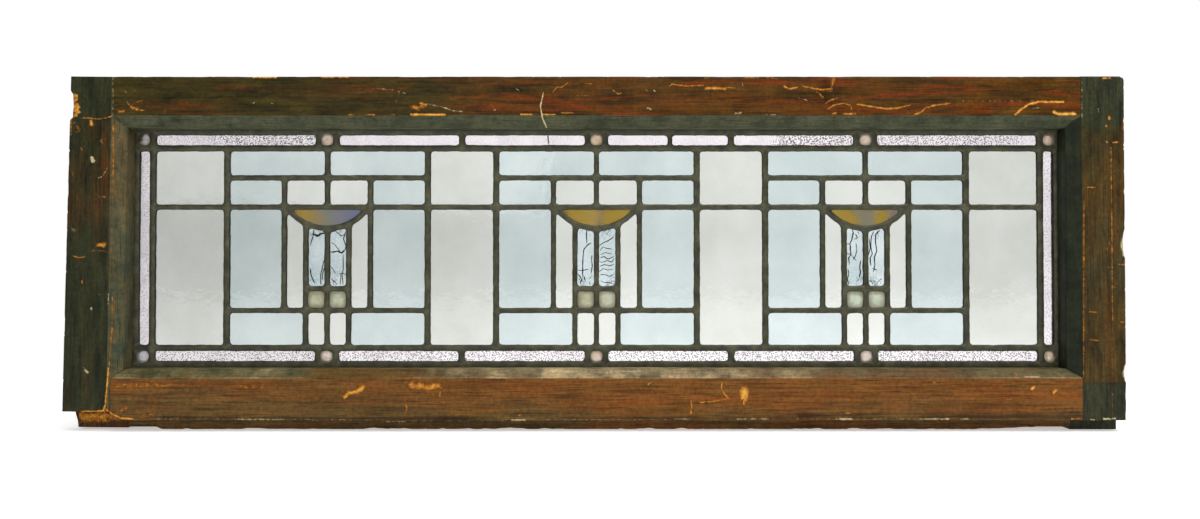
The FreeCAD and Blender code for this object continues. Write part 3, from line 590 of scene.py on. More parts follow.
BOTTOM_RAIL_MARKS = [
    ("bare", 0.62, 1.0, [(108, 387), (140, 386.4), (170, 386), (199, 386)]),
    ("bare", 0.58, 0.9, [(122, 384.6), (145, 384), (186, 384.6)]),
    ("bare", 0.50, 1.8, [(112, 386), (140, 385.4), (180, 385.7)]),
    ("bare", 0.50, 2.6, [(236, 386), (268, 388)]),
    ("bare", 0.42, 0.8, [(236, 384.6), (275, 385)]),
    ("bare", 0.55, 3.0, [(106, 413), (118, 420)]),
    ("bare", 0.42, 2.0, [(285, 399), (302, 398)]),
    ("bare", 0.40, 3.0, [(312, 396), (318, 399)]),
    ("pale", 0.45, 0.6, [(158, 419), (236, 419.2)]),
    ("pale", 0.42, 0.6, [(286, 419.4), (385, 420)]),
    ("pale", 0.42, 0.6, [(408, 420.6), (510, 420.4)]),
    ("pale", 0.42, 0.6, [(530, 420), (672, 419.6)]),
    ("pale", 0.42, 0.6, [(770, 419), (918, 419)]),
    ("dark", 0.58, 4.0, [(800, 416.4), (960, 416), (1078, 416.2)]),
    ("dark", 0.58, 2.6, [(165, 418), (420, 418.8), (560, 418.6)]),
    ("dark", 0.45, 2.4, [(560, 418.6), (840, 418)]),
    ("dark", 0.42, 4.0, [(345, 371), (425, 371)]),
    ("bare", 0.55, 2.6, [(118, 411), (126, 408)]),
    ("bare", 0.52, 2.6, [(140, 417), (155, 414)]),
    ("bare", 0.85, 1.2, [(106, 409), (112, 414), (120, 418), (133, 419)]),
    ("bare", 0.60, 1.0, [(174, 418), (183, 417.6)]),
    ("pale", 0.60, 0.9, [(238, 419.4), (284, 419.4)]),
    ("pale", 0.50, 0.8, [(306, 419.6), (324, 419.8)]),
    ("bare", 0.52, 1.3, [(260, 402), (261, 411)]),
    ("bare", 0.45, 1.0, [(154, 401), (156, 404)]),
    ("bare", 0.90, 2.2, [(345, 397), (348, 393), (357, 392), (363, 387)]),
    ("bare", 0.60, 0.8, [(344, 383), (345, 388)]),
    ("bare", 0.74, 4.2, [(412, 385.5), (427, 387), (438, 386)]),
    ("bare", 0.60, 1.2, [(404, 383), (416, 381)]),
    ("bare", 0.55, 1.0, [(428, 392), (437, 396)]),
    ("bare", 0.95, 2.8, [(358, 390.5), (362, 388.6)]),
    ("bare", 0.60, 1.2, [(442, 386), (439, 398)]),
    ("bare", 0.60, 1.2, [(405, 399), (407, 409), (405, 415)]),
    ("bare", 0.46, 1.4, [(424, 401.8), (444, 402)]),
    ("pale", 0.55, 0.9, [(385, 421.6), (405, 421.6)]),
    ("pale", 0.80, 1.2, [(512, 420.2), (525, 420)]),
    ("bare", 0.60, 0.9, [(518, 415.2), (522, 415.4)]),
    ("bare", 0.92, 5.2, [(744.2, 391), (744.6, 397)]),
    ("bare", 0.80, 1.4, [(744, 399), (743.8, 404)]),
    ("bare", 0.85, 1.0, [(722, 382), (721.4, 388.4), (725, 394.6), (728.6, 398.2)]),
    ("bare", 0.72, 0.8, [(728.6, 398.6), (716, 401), (700, 402.7)]),
    ("bare", 0.74, 1.2, [(691, 401), (692, 407), (691, 413.4)]),
    ("bare", 0.55, 0.9, [(698, 414), (700, 414.6)]),
    ("pale", 0.65, 0.9, [(675, 419), (691, 419)]),
    ("pale", 0.65, 0.9, [(737.5, 419), (768, 419)]),
    ("pale", 0.85, 1.1, [(840, 419), (851, 419)]),
    ("bare", 0.75, 1.1, [(846, 413.4), (849, 413.4)]),
    ("bare", 0.60, 0.9, [(795, 382.5), (796.4, 380.6)]),
    ("pale", 0.50, 0.7, [(648, 385), (652, 381.4)]),
    ("bare", 0.90, 1.8, [(1032, 389), (1034, 387)]),
    ("bare", 0.90, 2.0, [(1053.6, 393), (1056, 390.8)]),
    ("bare", 0.60, 0.9, [(1007, 399.6), (1012, 399)]),
    ("bare", 0.60, 1.1, [(933, 382.4), (935, 382.8)]),
    ("bare", 0.55, 0.9, [(1014, 373), (1017, 375)]),
    ("pale", 0.70, 0.9, [(920, 419), (949, 419)]),
    ("pale", 0.60, 0.8, [(957, 419), (968, 419)]),
    ("pale", 0.50, 1.4, [(550, 371), (578, 372.4)]),
    ("pale", 0.48, 1.6, [(604, 373), (640, 371)]),
    ("bare", 0.70, 1.0, [(1072, 419), (1082, 418.6)]),
]
MARKS = TOP_RAIL_MARKS + STILE_MARKS + BOTTOM_RAIL_MARKS
MARK_DEEP, MARK_DIVIDES, MARK_MARGIN, MARK_FADE, LEAST_HALF = 0.35, 2, 1.3, 0.7, 0.4
BROAD_FACE, BROAD_DIVIDES = 400.0, 14
FACES_AHEAD, POINTS_AHEAD, PALE_DEEP, FAR = -0.2, -0.1, 0.6, 1e9


def line_distance(x, y, spots):
    """Distance from points to a line through spots, all in pixels."""
    nearest = np.full(x.shape, FAR)
    for (x0, y0), (x1, y1) in zip(spots, spots[1:]):
        run, rise = x1 - x0, y1 - y0
        along = np.clip(((x - x0) * run + (y - y0) * rise) / (run * run + rise * rise), 0, 1)
        nearest = np.minimum(nearest, np.hypot(x - x0 - along * run, y - y0 - along * rise))
    return nearest


def painted_marks(points):
    """The marks' tones at points of the wood."""
    x, y = in_photo(points)
    tones = {tone: np.zeros(x.shape) for tone in ("bare", "pale", "dark")}
    for tone, strength, half, spots in MARKS:
        away = line_distance(x, y, spots) / max(half, LEAST_HALF)
        tones[tone] = np.maximum(tones[tone], strength * np.exp(-MARK_FADE * away * away))
    return tones


def near_marks(points):
    """Which points of the wood lie on a mark or next to it."""
    x, y = in_photo(points)
    near = np.zeros(x.shape, bool)
    for tone, _, half, spots in MARKS:
        if tone != "dark":
            near |= line_distance(x, y, spots) < half + MARK_MARGIN
    return near


def divide(shape, faces, cuts):
    edges = list({edge for face in faces for edge in face.edges})
    bmesh.ops.subdivide_edges(shape, edges=edges, cuts=cuts, use_grid_fill=True)


def divide_marks(piece):
    """Turns a wooden mesh's faces outwards and divides those in front that carry marks."""
    shape = bmesh.new()
    shape.from_mesh(piece.data)
    bmesh.ops.recalc_face_normals(shape, faces=shape.faces)
    broad = BROAD_FACE * MM ** 2
    divide(shape, [face for face in shape.faces if len(face.verts) == 4 and face.calc_area() > broad],
           BROAD_DIVIDES)
    near = near_marks(np.array([point.co for point in shape.verts]) / MM)
    ahead = [face for face in shape.faces if len(face.verts) == 4 and face.normal.y < FACES_AHEAD]
    divide(shape, [face for face in ahead if any(near[point.index] for point in face.verts)], MARK_DIVIDES)
    shape.to_mesh(piece.data)
    shape.free()


def mark_wood(piece):
    """Paints the marks on a wooden piece, seen from the front, and sinks them a little."""
    divide_marks(piece)
    mesh = piece.data
    count = len(mesh.vertices)
    points, broken = np.empty(count * 3), np.empty(count)
    mesh.vertices.foreach_get("co", points)
    mesh.attributes["broken"].data.foreach_get("value", broken)
    points = points.reshape(-1, 3)
    ahead = np.array([normal.vector[1] < POINTS_AHEAD for normal in mesh.vertex_normals])
    tones = {tone: values * ahead for tone, values in painted_marks(points / MM).items()}
    points[:, 1] += MARK_DEEP * MM * np.clip(tones["bare"] + PALE_DEEP * tones["pale"], 0, 1)
    mesh.vertices.foreach_set("co", points.ravel())
    tones["bare"] = np.maximum(tones["bare"], broken)
    for tone, values in tones.items():
        paint(mesh, tone, values)
    mesh.update()


# Wood

FACE_SPACING, WALL_SPACING, BACK_SPACING, EDGE_SPACING = 2.2, 2.8, 6.0, 2.8
LIP_SPACING, REBATE_SPACING, STEP_SPACING = 2.0, 4.0, 1.0
WEARS, BESIDE_ARRIS, MOST_EASED = 0.8, 0.6, 0.45
BEVEL_AND_WALL = (1, 2)
STILE_BEVEL_AND_WALL = (1, 2, 3, 4)


def eased_section(rows):
    """A closed section from rows of (across, deep, spacing along the side that follows, easing).

    Returns its (across, deep) points, and for each the side it lies on and how much of an arris it is.
    """
    count = len(rows)
    corners = np.array([row[:2] for row in rows], float)
    made = []
    for k, (_, _, spacing, easing) in enumerate(rows):
        here, back, run = corners[k], corners[k - 1] - corners[k], corners[(k + 1) % count] - corners[k]
        length = np.linalg.norm(run)
        start = min(easing / length, MOST_EASED)
        stop = 1 - min(rows[(k + 1) % count][3] / length, MOST_EASED)
        if easing > 0:
            before = here + back * min(easing / np.linalg.norm(back), MOST_EASED)
            after = here + run * start
            wear = float(easing >= WEARS)
            made.append((before, (k - 1) % count, BESIDE_ARRIS * wear))
            made.append(((before + 2 * here + after) / 4, k, wear))
            made.append((after, k, BESIDE_ARRIS * wear))
        else:
            made.append((here, k, 0.0))
        pieces = max(1, round(length * (stop - start) / spacing))
        for step in range(1, pieces):
            made.append((here + run * (start + (stop - start) * step / pieces), k, 0.0))
    return tuple(np.array(column) for column in zip(*made))


def moulded_rows(wide, bevel=BEVEL_WIDE):
    """Section of a stile or of the top rail, from its outer edge towards the glass."""
    sight, rabbet = wide + bevel, wide + BEVEL_WIDE - RABBET_CUT
    return [(0, 0, FACE_SPACING, 1.3), (wide, 0, FACE_SPACING, 1.0), (sight, BEVEL_DEEP, WALL_SPACING, 0.5),
            (sight, PANEL_DEEP, BACK_SPACING, 0.3), (rabbet, PANEL_DEEP, BACK_SPACING, 0.3),
            (rabbet, SASH_THICK, BACK_SPACING, 0.8), (0, SASH_THICK, EDGE_SPACING, 1.3)]


def bottom_rows():
    """Section of the bottom rail, from the foot of its face upwards and round to its lip."""
    rabbet = LIP_DROP + BOTTOM_WIDE + BEVEL_WIDE - RABBET_CUT
    face_high = LIP_DROP + BOTTOM_WIDE + BOTTOM_RISE
    sight = face_high + BOTTOM_BEVEL
    return [(LIP_DROP, 0, FACE_SPACING, 1.0), (face_high, 0, FACE_SPACING, 1.2),
            (sight, BEVEL_DEEP, WALL_SPACING, 0.5), (sight, PANEL_DEEP, BACK_SPACING, 0.3),
            (rabbet, PANEL_DEEP, BACK_SPACING, 0.3), (rabbet, SASH_THICK, BACK_SPACING, 0.8),
            (0, SASH_THICK, EDGE_SPACING, 1.0), (0, LIP_FRONT, LIP_SPACING, 1.0),
            (LIP_DROP, LIP_FRONT, REBATE_SPACING, 0.3)]


STEP_SLANT = 0.1


def stile_rows():
    """Section of a stile, with a pair of points on each side where its foot steps back over the lip."""
    rows = moulded_rows(STILE_WIDE)
    sight, ahead, behind = STILE_WIDE + BEVEL_WIDE, LIP_FRONT - STEP_SLANT, LIP_FRONT + STEP_SLANT
    inner = [(sight, ahead, STEP_SPACING, 0), (sight, behind, WALL_SPACING, 0)]
    outer = [(0, behind, STEP_SPACING, 0), (0, ahead, EDGE_SPACING / 2, 0)]
    return rows[:3] + inner + rows[3:] + outer


def swept_faces(stations, around):
    """Quads between the stations of a closed section."""
    first = np.arange(around)
    second = np.roll(first, -1)
    low = np.arange(stations - 1)[:, None] * around
    high = low + around
    return np.stack([low + first, high + first, high + second, low + second], axis=2).reshape(-1, 4).tolist()


def cope(deep):
    """Where a rail meets a stile, by depth."""
    bevel = SIGHT_HALF + BEVEL_WIDE * (1 - np.clip(deep / BEVEL_DEEP, 0, 1))
    return np.where(deep > PANEL_DEEP + 0.1, SIGHT_HALF + RABBET_CUT, bevel) - SEAM


def section_normals(section):
    """Directions out of a closed section at its points."""
    run = np.roll(section, -1, axis=0) - np.roll(section, 1, axis=0)
    out = np.stack([run[:, 1], -run[:, 0]], axis=1)
    return out / np.maximum(np.linalg.norm(out, axis=1, keepdims=True), 1e-9)


SOFT_WEAR, NICK_WEAR, CHIP_WEAR = 0.35, 2.6, 4.5


def worn_section(points, along, arrises, seed, sunk=0.0):
    """A section's points along a piece, as (across, deep), worn softly and nicked along the arrises."""
    around = np.arange(len(arrises)) * 0.35
    soft = SOFT_WEAR * (rough_noise(along * 0.02, around * 0.4, seed) - 0.5)
    nicks = NICK_WEAR * np.clip(rough_noise(along * 0.05, 0.7, seed + 5) - 0.55, 0, 1)
    chips = CHIP_WEAR * np.clip(rough_noise(along * 0.25, 3.3, seed + 9) - 0.66, 0, 1)
    away = -(soft + arrises * (nicks + chips)) - sunk
    out = section_normals(points)
    return points[:, 0] + out[:, 0] * away, points[:, 1] + out[:, 1] * away


def make_wood(name, row, caps, material, arrises, **painted):
    """A wooden piece: the rows of its section joined up and closed by caps, with its marks."""
    faces = swept_faces(*row.shape[:2])
    flat = range(len(faces), len(faces) + len(caps))
    edge = np.broadcast_to(arrises, row.shape[:2])
    piece = make_piece(name, row.reshape(-1, 3), faces + caps, material, "frame_wood", name,
                       flat_faces=flat, edge=edge, **painted)
    mark_wood(piece)


# The film on the bottom rail's bevel: column of the photograph, warmth and thickness
BEVEL_FILM = ((105, -0.05, 0.8), (300, 0.1, 0.75), (345, 0.1, 0.25), (405, 0.15, 0.25), (430, 0.3, 0.5),
              (530, 0.5, 0.75), (610, 1.4, 1.1), (700, 0.8, 0.8), (850, 0.35, 0.6), (1000, 0.05, 0.5),
              (1065, 0.0, 0.8))
FACE_FOOT = LIP_DROP + 34
# Where the stain turns: across the rails, and up the stiles
TOP_WARMS, BOTTOM_WARMS = (-480, 240), (-480, 80)
LEFT_WARMS, LEFT_COOLS = (170, 330), (352, 362)
REPAIR_ENDS, RIGHT_COOLS, INNER_BAND = (54, 58), (335, 372), 9


def along_bevel(row, value):
    """A value of the bevel's coat, 1 its warmth and 2 its thickness, along the bottom rail."""
    knots = np.array(BEVEL_FILM)
    return np.interp(in_photo(row)[0], knots[:, 0], knots[:, value])


def top_film(row):
    return np.ones(row.shape[:2])


def bottom_film(row):
    return along_bevel(row, 2)


def top_stain(row):
    return 0.08 + 0.85 * smooth_step(row[..., 0], *TOP_WARMS)


def bottom_stain(row):
    # The face turns less warm, and so darker, towards its foot.
    cooler_foot = 0.65 * (1 - smooth_step(row[..., 2], LIP_DROP, FACE_FOOT))
    face = 0.42 + 0.55 * smooth_step(row[..., 0], *BOTTOM_WARMS) - cooler_foot
    on_bevel = (row[..., 1] > FACE + 0.8) & (row[..., 2] > FACE_FOOT)
    return np.where(on_bevel, along_bevel(row, 1), face)


def left_stain(row):
    lip = (row[..., 2] < LEFT_FOOT + 1) & (row[..., 1] > FACE + LIP_FRONT - 1)
    warm = 0.02 + 0.34 * (smooth_step(row[..., 2], *LEFT_WARMS) - smooth_step(row[..., 2], *LEFT_COOLS))
    return np.where(lip, 1.2, warm)


def right_stain(row):
    above_repair = smooth_step(row[..., 2], *REPAIR_ENDS) * (1 - smooth_step(row[..., 2], *RIGHT_COOLS))
    face = SASH_HALF - STILE_WIDE
    return (0.55 + 0.25 * (1 - smooth_step(row[..., 0], face, face + INNER_BAND))) * above_repair


END_PART, SPLINTERS = 20, 5.0
SHORT_LEFT, SHORT_RIGHT = (508, 516), (440, 520)


def lip_ends(points, share):
    """How much further the bottom rail's lip runs: to the leaning stile and to the other one's shoulder."""
    lip = (points[:, 1] > LIP_FRONT - 0.5) & (points[:, 0] < LIP_DROP + 1)
    ahead = lip & (points[:, 1] < PANEL_DEEP)
    left, right = (np.clip(END_PART * (sign * share - 1) + 1, 0, 1) for sign in SIDES)
    return np.where(ahead, RABBET_CUT, 0.0) * right - np.where(lip, LEAN_GAP, 0.0) * left


def ragged_lip(points, along, seed):
    """How much of the lip's lower edge has splintered away, and how short it is towards its ends."""
    splinters = SPLINTERS * np.clip(rough_noise(along * 0.05, 1.5, seed + 20) - 0.5, 0, 1)
    short = LIP_SHORT * (smooth_step(-along, *SHORT_LEFT) + smooth_step(along, *SHORT_RIGHT))
    return np.where(points[:, 0] < LIP_EDGE, splinters + short, 0.0)


def make_rail(name, rows, to_row, stain, dust_and_shade_strength, material, seed, has_lip=False):
    """A rail: its section swept between the stiles, worn and marked."""
    points, sides, arrises = eased_section(rows)
    stations, around = round(2 * (SIGHT_HALF + BEVEL_WIDE) / STATION), len(points)
    share = np.linspace(-1, 1, stations)[:, None]
    along = share * cope(points[:, 1])
    if has_lip:
        along = along + lip_ends(points, share)
    across, deep = worn_section(points, along, arrises, seed)
    if has_lip:
        across = across + ragged_lip(points, along, seed)
    row = to_row(along, across, deep)
    last = (stations - 1) * around
    caps = [list(range(around)), list(range(last, last + around))[::-1]]
    dust = np.isin(sides, BEVEL_AND_WALL) * dust_and_shade_strength(row)
    make_wood(name, row, caps, material, arrises, dust=dust, warm=stain(row), broken=np.zeros(along.shape))


def top_rail_place(along, across, deep):
    return np.stack([along, FACE + deep, SASH_HIGH - across], axis=-1)


def bottom_rail_place(along, across, deep):
    return np.stack([along, FACE + deep, across], axis=-1)


CHIP_MIDDLE, CHIP_HALF, CHIP_FACE, CHIP_BACK, CHIP_SLOPE, EDGE_REACH = 376.0, 15.0, 8.0, 1.2, 4.5, 26.0
TAPER_HEIGHTS, TAPER = (0.0, 240.0, 409.0), (-1.6, 0.4, 2.4)
DENTS = ((217.0, 17.0, 2.6), (68.0, 11.0, 2.2))
DENT_DEEP, CORNER_ROUND, LIP_WORN, LIP_CUT = 26.0, 5.0, 7.0, 0.05


def outer_share(across):
    """How much a point of a stile follows its outer edge."""
    return np.clip(1 - across / EDGE_REACH, 0, 1)


def on_lip(points):
    return points[:, 1] > LIP_FRONT - 2 * STEP_SLANT


def left_edge(points, across, along, deep):
    """The left stile tapered, splintered at the face and worn at its lip's end; also its raw wood."""
    bowl = np.clip(1 - ((along - CHIP_MIDDLE) / CHIP_HALF) ** 4, 0, 1) ** 0.6
    slope = CHIP_BACK + (CHIP_FACE - CHIP_BACK) * np.clip(1 - deep / CHIP_SLOPE, 0, 1)
    depth = bowl * slope * (0.45 + 1.1 * rough_noise(along * 0.35, deep * 0.2, 71))
    fibres = 0.45 + 0.5 * rough_noise(along * 0.6, deep * 0.5, 72)
    raw = np.clip((depth - across * 1.1) / 2.5, 0, 1) * (bowl > 0) * fibres
    across = across + outer_share(across) * (depth + np.interp(along, TAPER_HEIGHTS, TAPER))
    lip_end = LIP_WORN * outer_share(across) * (1 - smooth_step(along, LEFT_FOOT, LEFT_FOOT + 4))
    return across + np.where(on_lip(points), lip_end, 0.0), raw


def right_edge(points, across, along, deep):
    """The right stile dented, with a rounded upper corner and its lip cut at the shoulder; no raw wood."""
    push = np.zeros(across.shape)
    for middle, half, dent in DENTS:
        bowl = np.clip(1 - ((along - middle) / half) ** 2, 0, 1)
        push = np.maximum(push, bowl * dent * np.clip(1 - deep / DENT_DEEP, 0, 1))
    rise = np.clip(1 - (SASH_HIGH - along) / CORNER_ROUND, 0, 1)
    push = push + CORNER_ROUND * (1 - np.sqrt(1 - rise * rise))
    across = across + outer_share(across) * push
    lip = on_lip(points) & (points[:, 0] > SHOULDER) & (along < RIGHT_FOOT + 0.5)
    return np.where(lip, SHOULDER + (across - SHOULDER) * LIP_CUT, across), np.zeros(across.shape)


def tenon_ends(points, along):
    """Where a stile's outer edge shows the end of a tenon."""
    end = (points[:, 0] < 0.5) & (points[:, 1] > TENON_FRONT) & (points[:, 1] < TENON_BACK)
    return end & np.any([(along > low) & (along < high) for low, high in TENON_HEIGHTS], axis=0)


def leaning(row):
    """The left stile's points, turned about its upper corner: it has pulled away at its foot."""
    reach, drop = row[..., 0] + SASH_HALF, row[..., 2] - SASH_HIGH
    x = -SASH_HALF + reach * math.cos(LEFT_LEAN) + drop * math.sin(LEFT_LEAN)
    z = SASH_HIGH - reach * math.sin(LEFT_LEAN) + drop * math.cos(LEFT_LEAN)
    return np.stack([x, row[..., 1], z], axis=-1)


def make_stile(name, side, foot, edge, stain, dust_and_shade_strength, material, seed):
    """A stile: full height, stepped at its foot, with both tenons' ends in its outer edge."""
    points, sides, arrises = eased_section(stile_rows())
    stations, forward = round(SASH_HIGH / STATION), points[:, 1] < LIP_FRONT
    start = np.where(forward, foot, LIP_SHORT if side < 0 else 0.0)
    along = start + (SASH_HIGH - start) * np.linspace(0, 1, stations)[:, None]
    across, deep = worn_section(points, along, arrises, seed, TENON_SUNK * tenon_ends(points, along))
    across, raw = edge(points, across, along, deep)
    row = np.stack([side * (SASH_HALF - across), FACE + deep, along], axis=-1)
    row = leaning(row) if side < 0 else row
    # On the right stile this mask carries painted shade on the bevel and wall, not a coat of the finish.
    dust = np.isin(sides, STILE_BEVEL_AND_WALL) * dust_and_shade_strength * (along > foot + 2)
    make_wood(name, row, stile_caps(forward, stations), material, arrises, dust=dust, warm=stain(row),
              broken=raw)


def stile_caps(forward, stations):
    """Faces that close a stile: the two levels of its foot, the step between them and its top."""
    around, behind = len(forward), np.flatnonzero(~forward)
    first, last = behind[0], behind[-1]
    front = [k % around for k in range(last + 1, last + 1 + around - len(behind))]
    step = [(first - 1) % around, first, last, (last + 1) % around]
    top = (stations - 1) * around
    return [front, behind.tolist(), step, list(range(top, top + around))]


# The came lattice


def lead_lines():
    """Uprights as (x, low, high) and levels as (z, left, right)."""
    uprights = [(x, EDGE_LOW, EDGE_HIGH) for x in (-EDGE_HALF, -FIELD_HALF, FIELD_HALF, EDGE_HALF)]
    levels = [(z, -EDGE_HALF, EDGE_HALF) for z in (EDGE_LOW, FIELD_LOW, FIELD_HIGH, EDGE_HIGH)]
    levels.append((CHORD_LINE, -FIELD_HALF, FIELD_HALF))
    short = [-COLUMN_MIDDLE, COLUMN_MIDDLE]
    for middle in MOTIFS.values():
        short += [middle - JEWEL_HALF, middle + JEWEL_HALF]
        uprights += [(middle, FIELD_LOW, BOW_FOOT), (middle, CHORD_LINE, FIELD_HIGH)]
        for sign in SIDES:
            uprights += [(middle + sign * MOTIF_HALF, FIELD_LOW, FIELD_HIGH),
                         (middle + sign * FLANK, BASE_LINE, SECOND_LINE),
                         (middle + sign * SLOT, FIELD_LOW, SLOT_HEAD)]
        levels += [(z, middle - MOTIF_HALF, middle + MOTIF_HALF) for z in (BASE_LINE, SECOND_LINE)]
        levels.append((OPAL_LINE, middle - SLOT, middle + SLOT))
    uprights += [(x, EDGE_LOW, FIELD_LOW) for x in short]
    uprights += [(x, FIELD_HIGH, EDGE_HIGH) for x in short + [MEND_LINE]]
    return uprights, levels


UPRIGHTS, LEVELS = lead_lines()
NEAR_JOINT = (0.0, 1.5, 3.1, 4.9, 7.2, 10.2)
CAME_STEP, SHORT_STEP, BOW_PIECES = 4.2, 1.9, 12
CLOSE = 1e-3
BOW_ANGLES = [math.asin(BOW_SPREAD / BOW_RADIUS), math.asin(SLOT / BOW_RADIUS), 0.0]


def same(a, b):
    return abs(a - b) < CLOSE


def within(a, low, high):
    return low - CLOSE <= a <= high + CLOSE


def joints_on(line, alongside, across):
    """Where a lead line meets others or ends: alongside holds its own direction, across the other."""
    stops = {round(place, 3) for place, low, high in across if within(line, low, high)}
    return stops | {round(end, 3) for place, *ends in alongside if same(place, line) for end in ends}


def chosen(places, start, stop):
    """The places from start to stop, in that order."""
    kept = [place for place in places if within(place, min(start, stop), max(start, stop))]
    return kept if start < stop else kept[::-1]


def run_between(joints, start, stop):
    """Places along a lead line from start to stop, closer together near joints."""
    joints, near = sorted(joints), NEAR_JOINT[-1]
    places = []
    for low, high in zip(joints, joints[1:]):
        length = high - low
        if length > 2 * near:
            pieces = max(1, math.ceil((length - 2 * near) / CAME_STEP))
            places += [low + n for n in NEAR_JOINT[:-1]]
            places += list(np.linspace(low + near, high - near, pieces + 1)[:-1])
            places += [high - n for n in NEAR_JOINT[:0:-1]]
        else:
            places += list(np.linspace(low, high, max(2, math.ceil(length / SHORT_STEP)) + 1)[:-1])
    return chosen(places + [joints[-1]], start, stop)


def up_line(x, start, stop):
    return [(x, z) for z in run_between(joints_on(x, UPRIGHTS, LEVELS), start, stop)]


def level_line(z, start, stop):
    joints = joints_on(z, LEVELS, UPRIGHTS)
    if same(z, CHORD_LINE):
        joints |= {round(middle + sign * BOW_SPREAD, 3) for middle in MOTIFS.values() for sign in SIDES}
    return [(x, z) for x in run_between(joints, start, stop)]


def bow_line(middle, start, stop):
    """Points along the bow from one angle to another, measured from straight down."""
    joints = sorted({sign * angle for angle in BOW_ANGLES for sign in SIDES})
    angles = []
    for low, high in zip(joints, joints[1:]):
        angles += list(np.linspace(low, high, BOW_PIECES + 1)[:-1])
    return [(middle + BOW_RADIUS * math.sin(a), BOW_MIDDLE - BOW_RADIUS * math.cos(a))
            for a in chosen(angles + joints[-1:], start, stop)]


def joined(*runs):
    """One closed loop of runs that meet end to end."""
    return [spot for run in runs for spot in run[:-1]]


def box_loop(left, right, low, high):
    return joined(level_line(low, left, right), up_line(right, low, high), level_line(high, right, left),
                  up_line(left, high, low))


def upright_half(x):
    if same(abs(x), EDGE_HALF):
        return EDGE_CAME_HALF
    if same(x, MEND_LINE):
        return MEND_HALF
    offsets = [abs(x - middle) for middle in MOTIFS.values()]
    light = any(same(offset, place) for offset in offsets for place in (0.0, FLANK, SLOT))
    return FINE_HALF if light else MAIN_HALF


def level_half(z):
    if same(z, EDGE_LOW) or same(z, EDGE_HIGH):
        return EDGE_CAME_HALF
    return MAIN_HALF if same(z, FIELD_LOW) or same(z, FIELD_HIGH) else FINE_HALF


def smooth_min(a, b, reach):
    near = np.maximum(reach - np.abs(a - b), 0.0) / reach
    return np.minimum(a, b) - near * near * reach / 4


CORNER_REACH, JEWEL_REACH, MOON_REACH, CRACKLE_REACH = 4.2, 7.0, 4.0, 5.0
MOON_SPINE_HALF, MOON_SPINE_DROP = 22.0, 9.0
FLANK_INSET, CRACKLE_LOW_INSET, CRACKLE_HIGH_INSET = 14.0, 13.0, 10.0


def box_room(left, right, low, high, reach=CORNER_REACH):
    """Distance inside the cames round a rectangular pane, as a function."""
    def room(x, z):
        across = np.minimum(x - left - upright_half(left), right - upright_half(right) - x)
        up = np.minimum(z - low - level_half(low), high - level_half(high) - z)
        return smooth_min(across, up, reach)
    return room


def rectangle_cell(left, right, low, high, reach=CORNER_REACH):
    """A pane's boundary, the room inside its cames and the spine that its opening is drawn towards."""
    inset = min(right - left, high - low) / 2
    spine = ((left + inset, low + inset), (right - inset, high - inset))
    return box_loop(left, right, low, high), box_room(left, right, low, high, reach), spine


def under_bow(middle, first, second, low, reach):
    """Room in a pane between two uprights that the bow cuts off at its upper end."""
    box = box_room(min(first, second), max(first, second), low, CHORD_LINE)

    def room(x, z):
        below_bow = np.hypot(x - middle, z - BOW_MIDDLE) - BOW_RADIUS - FINE_HALF
        return smooth_min(box(x, z), below_bow, reach)
    return room


def upright_spine(first, second, low, high):
    line = (first + second) / 2
    return (line, low), (line, high)


def moon_cell(middle):
    def room(x, z):
        inside_bow = BOW_RADIUS - FINE_HALF - np.hypot(x - middle, z - BOW_MIDDLE)
        return smooth_min(CHORD_LINE - FINE_HALF - z, inside_bow, MOON_REACH)
    loop = joined(level_line(CHORD_LINE, middle + BOW_SPREAD, middle - BOW_SPREAD),
                  bow_line(middle, -BOW_ANGLES[0], BOW_ANGLES[0]))
    height = CHORD_LINE - MOON_SPINE_DROP
    return loop, room, ((middle - MOON_SPINE_HALF, height), (middle + MOON_SPINE_HALF, height))


def bow_cells(middle):
    """The half-moon, and the panes on both sides that the bow cuts."""
    edge, slot, foot = BOW_ANGLES
    cells = [moon_cell(middle)]
    for sign in SIDES:
        flank_x, slot_x = middle + sign * FLANK, middle + sign * SLOT
        loop = joined(level_line(BASE_LINE, flank_x, slot_x), up_line(slot_x, BASE_LINE, SLOT_HEAD),
                      bow_line(middle, sign * slot, sign * edge),
                      level_line(CHORD_LINE, middle + sign * BOW_SPREAD, flank_x),
                      up_line(flank_x, CHORD_LINE, BASE_LINE))
        cells.append((loop, under_bow(middle, flank_x, slot_x, BASE_LINE, CORNER_REACH),
                      upright_spine(flank_x, slot_x, BASE_LINE + FLANK_INSET, SLOT_HEAD - FLANK_INSET)))
        loop = joined(level_line(OPAL_LINE, slot_x, middle), up_line(middle, OPAL_LINE, BOW_FOOT),
                      bow_line(middle, foot, sign * slot), up_line(slot_x, SLOT_HEAD, OPAL_LINE))
        low, high = OPAL_LINE + CRACKLE_LOW_INSET, BOW_FOOT - CRACKLE_HIGH_INSET
        cells.append((loop, under_bow(middle, slot_x, middle, OPAL_LINE, CRACKLE_REACH),
                      upright_spine(slot_x, middle, low, high)))
    return cells


# A motif's rectangular panes: offsets of their sides from its middle, and their heights
MOTIF_PANES = ((0.0, MOTIF_HALF, SECOND_LINE, FIELD_HIGH), (0.0, FLANK, CHORD_LINE, SECOND_LINE),
               (FLANK, MOTIF_HALF, CHORD_LINE, SECOND_LINE), (FLANK, MOTIF_HALF, BASE_LINE, CHORD_LINE),
               (0.0, SLOT, BASE_LINE, OPAL_LINE), (0.0, SLOT, FIELD_LOW, BASE_LINE),
               (SLOT, MOTIF_HALF, FIELD_LOW, BASE_LINE))


def motif_cells(middle):
    """Every pane of a motif."""
    cells = bow_cells(middle)
    for sign in SIDES:
        for *offsets, low, high in MOTIF_PANES:
            left, right = sorted(middle + sign * offset for offset in offsets)
            cells.append(rectangle_cell(left, right, low, high))
    return cells


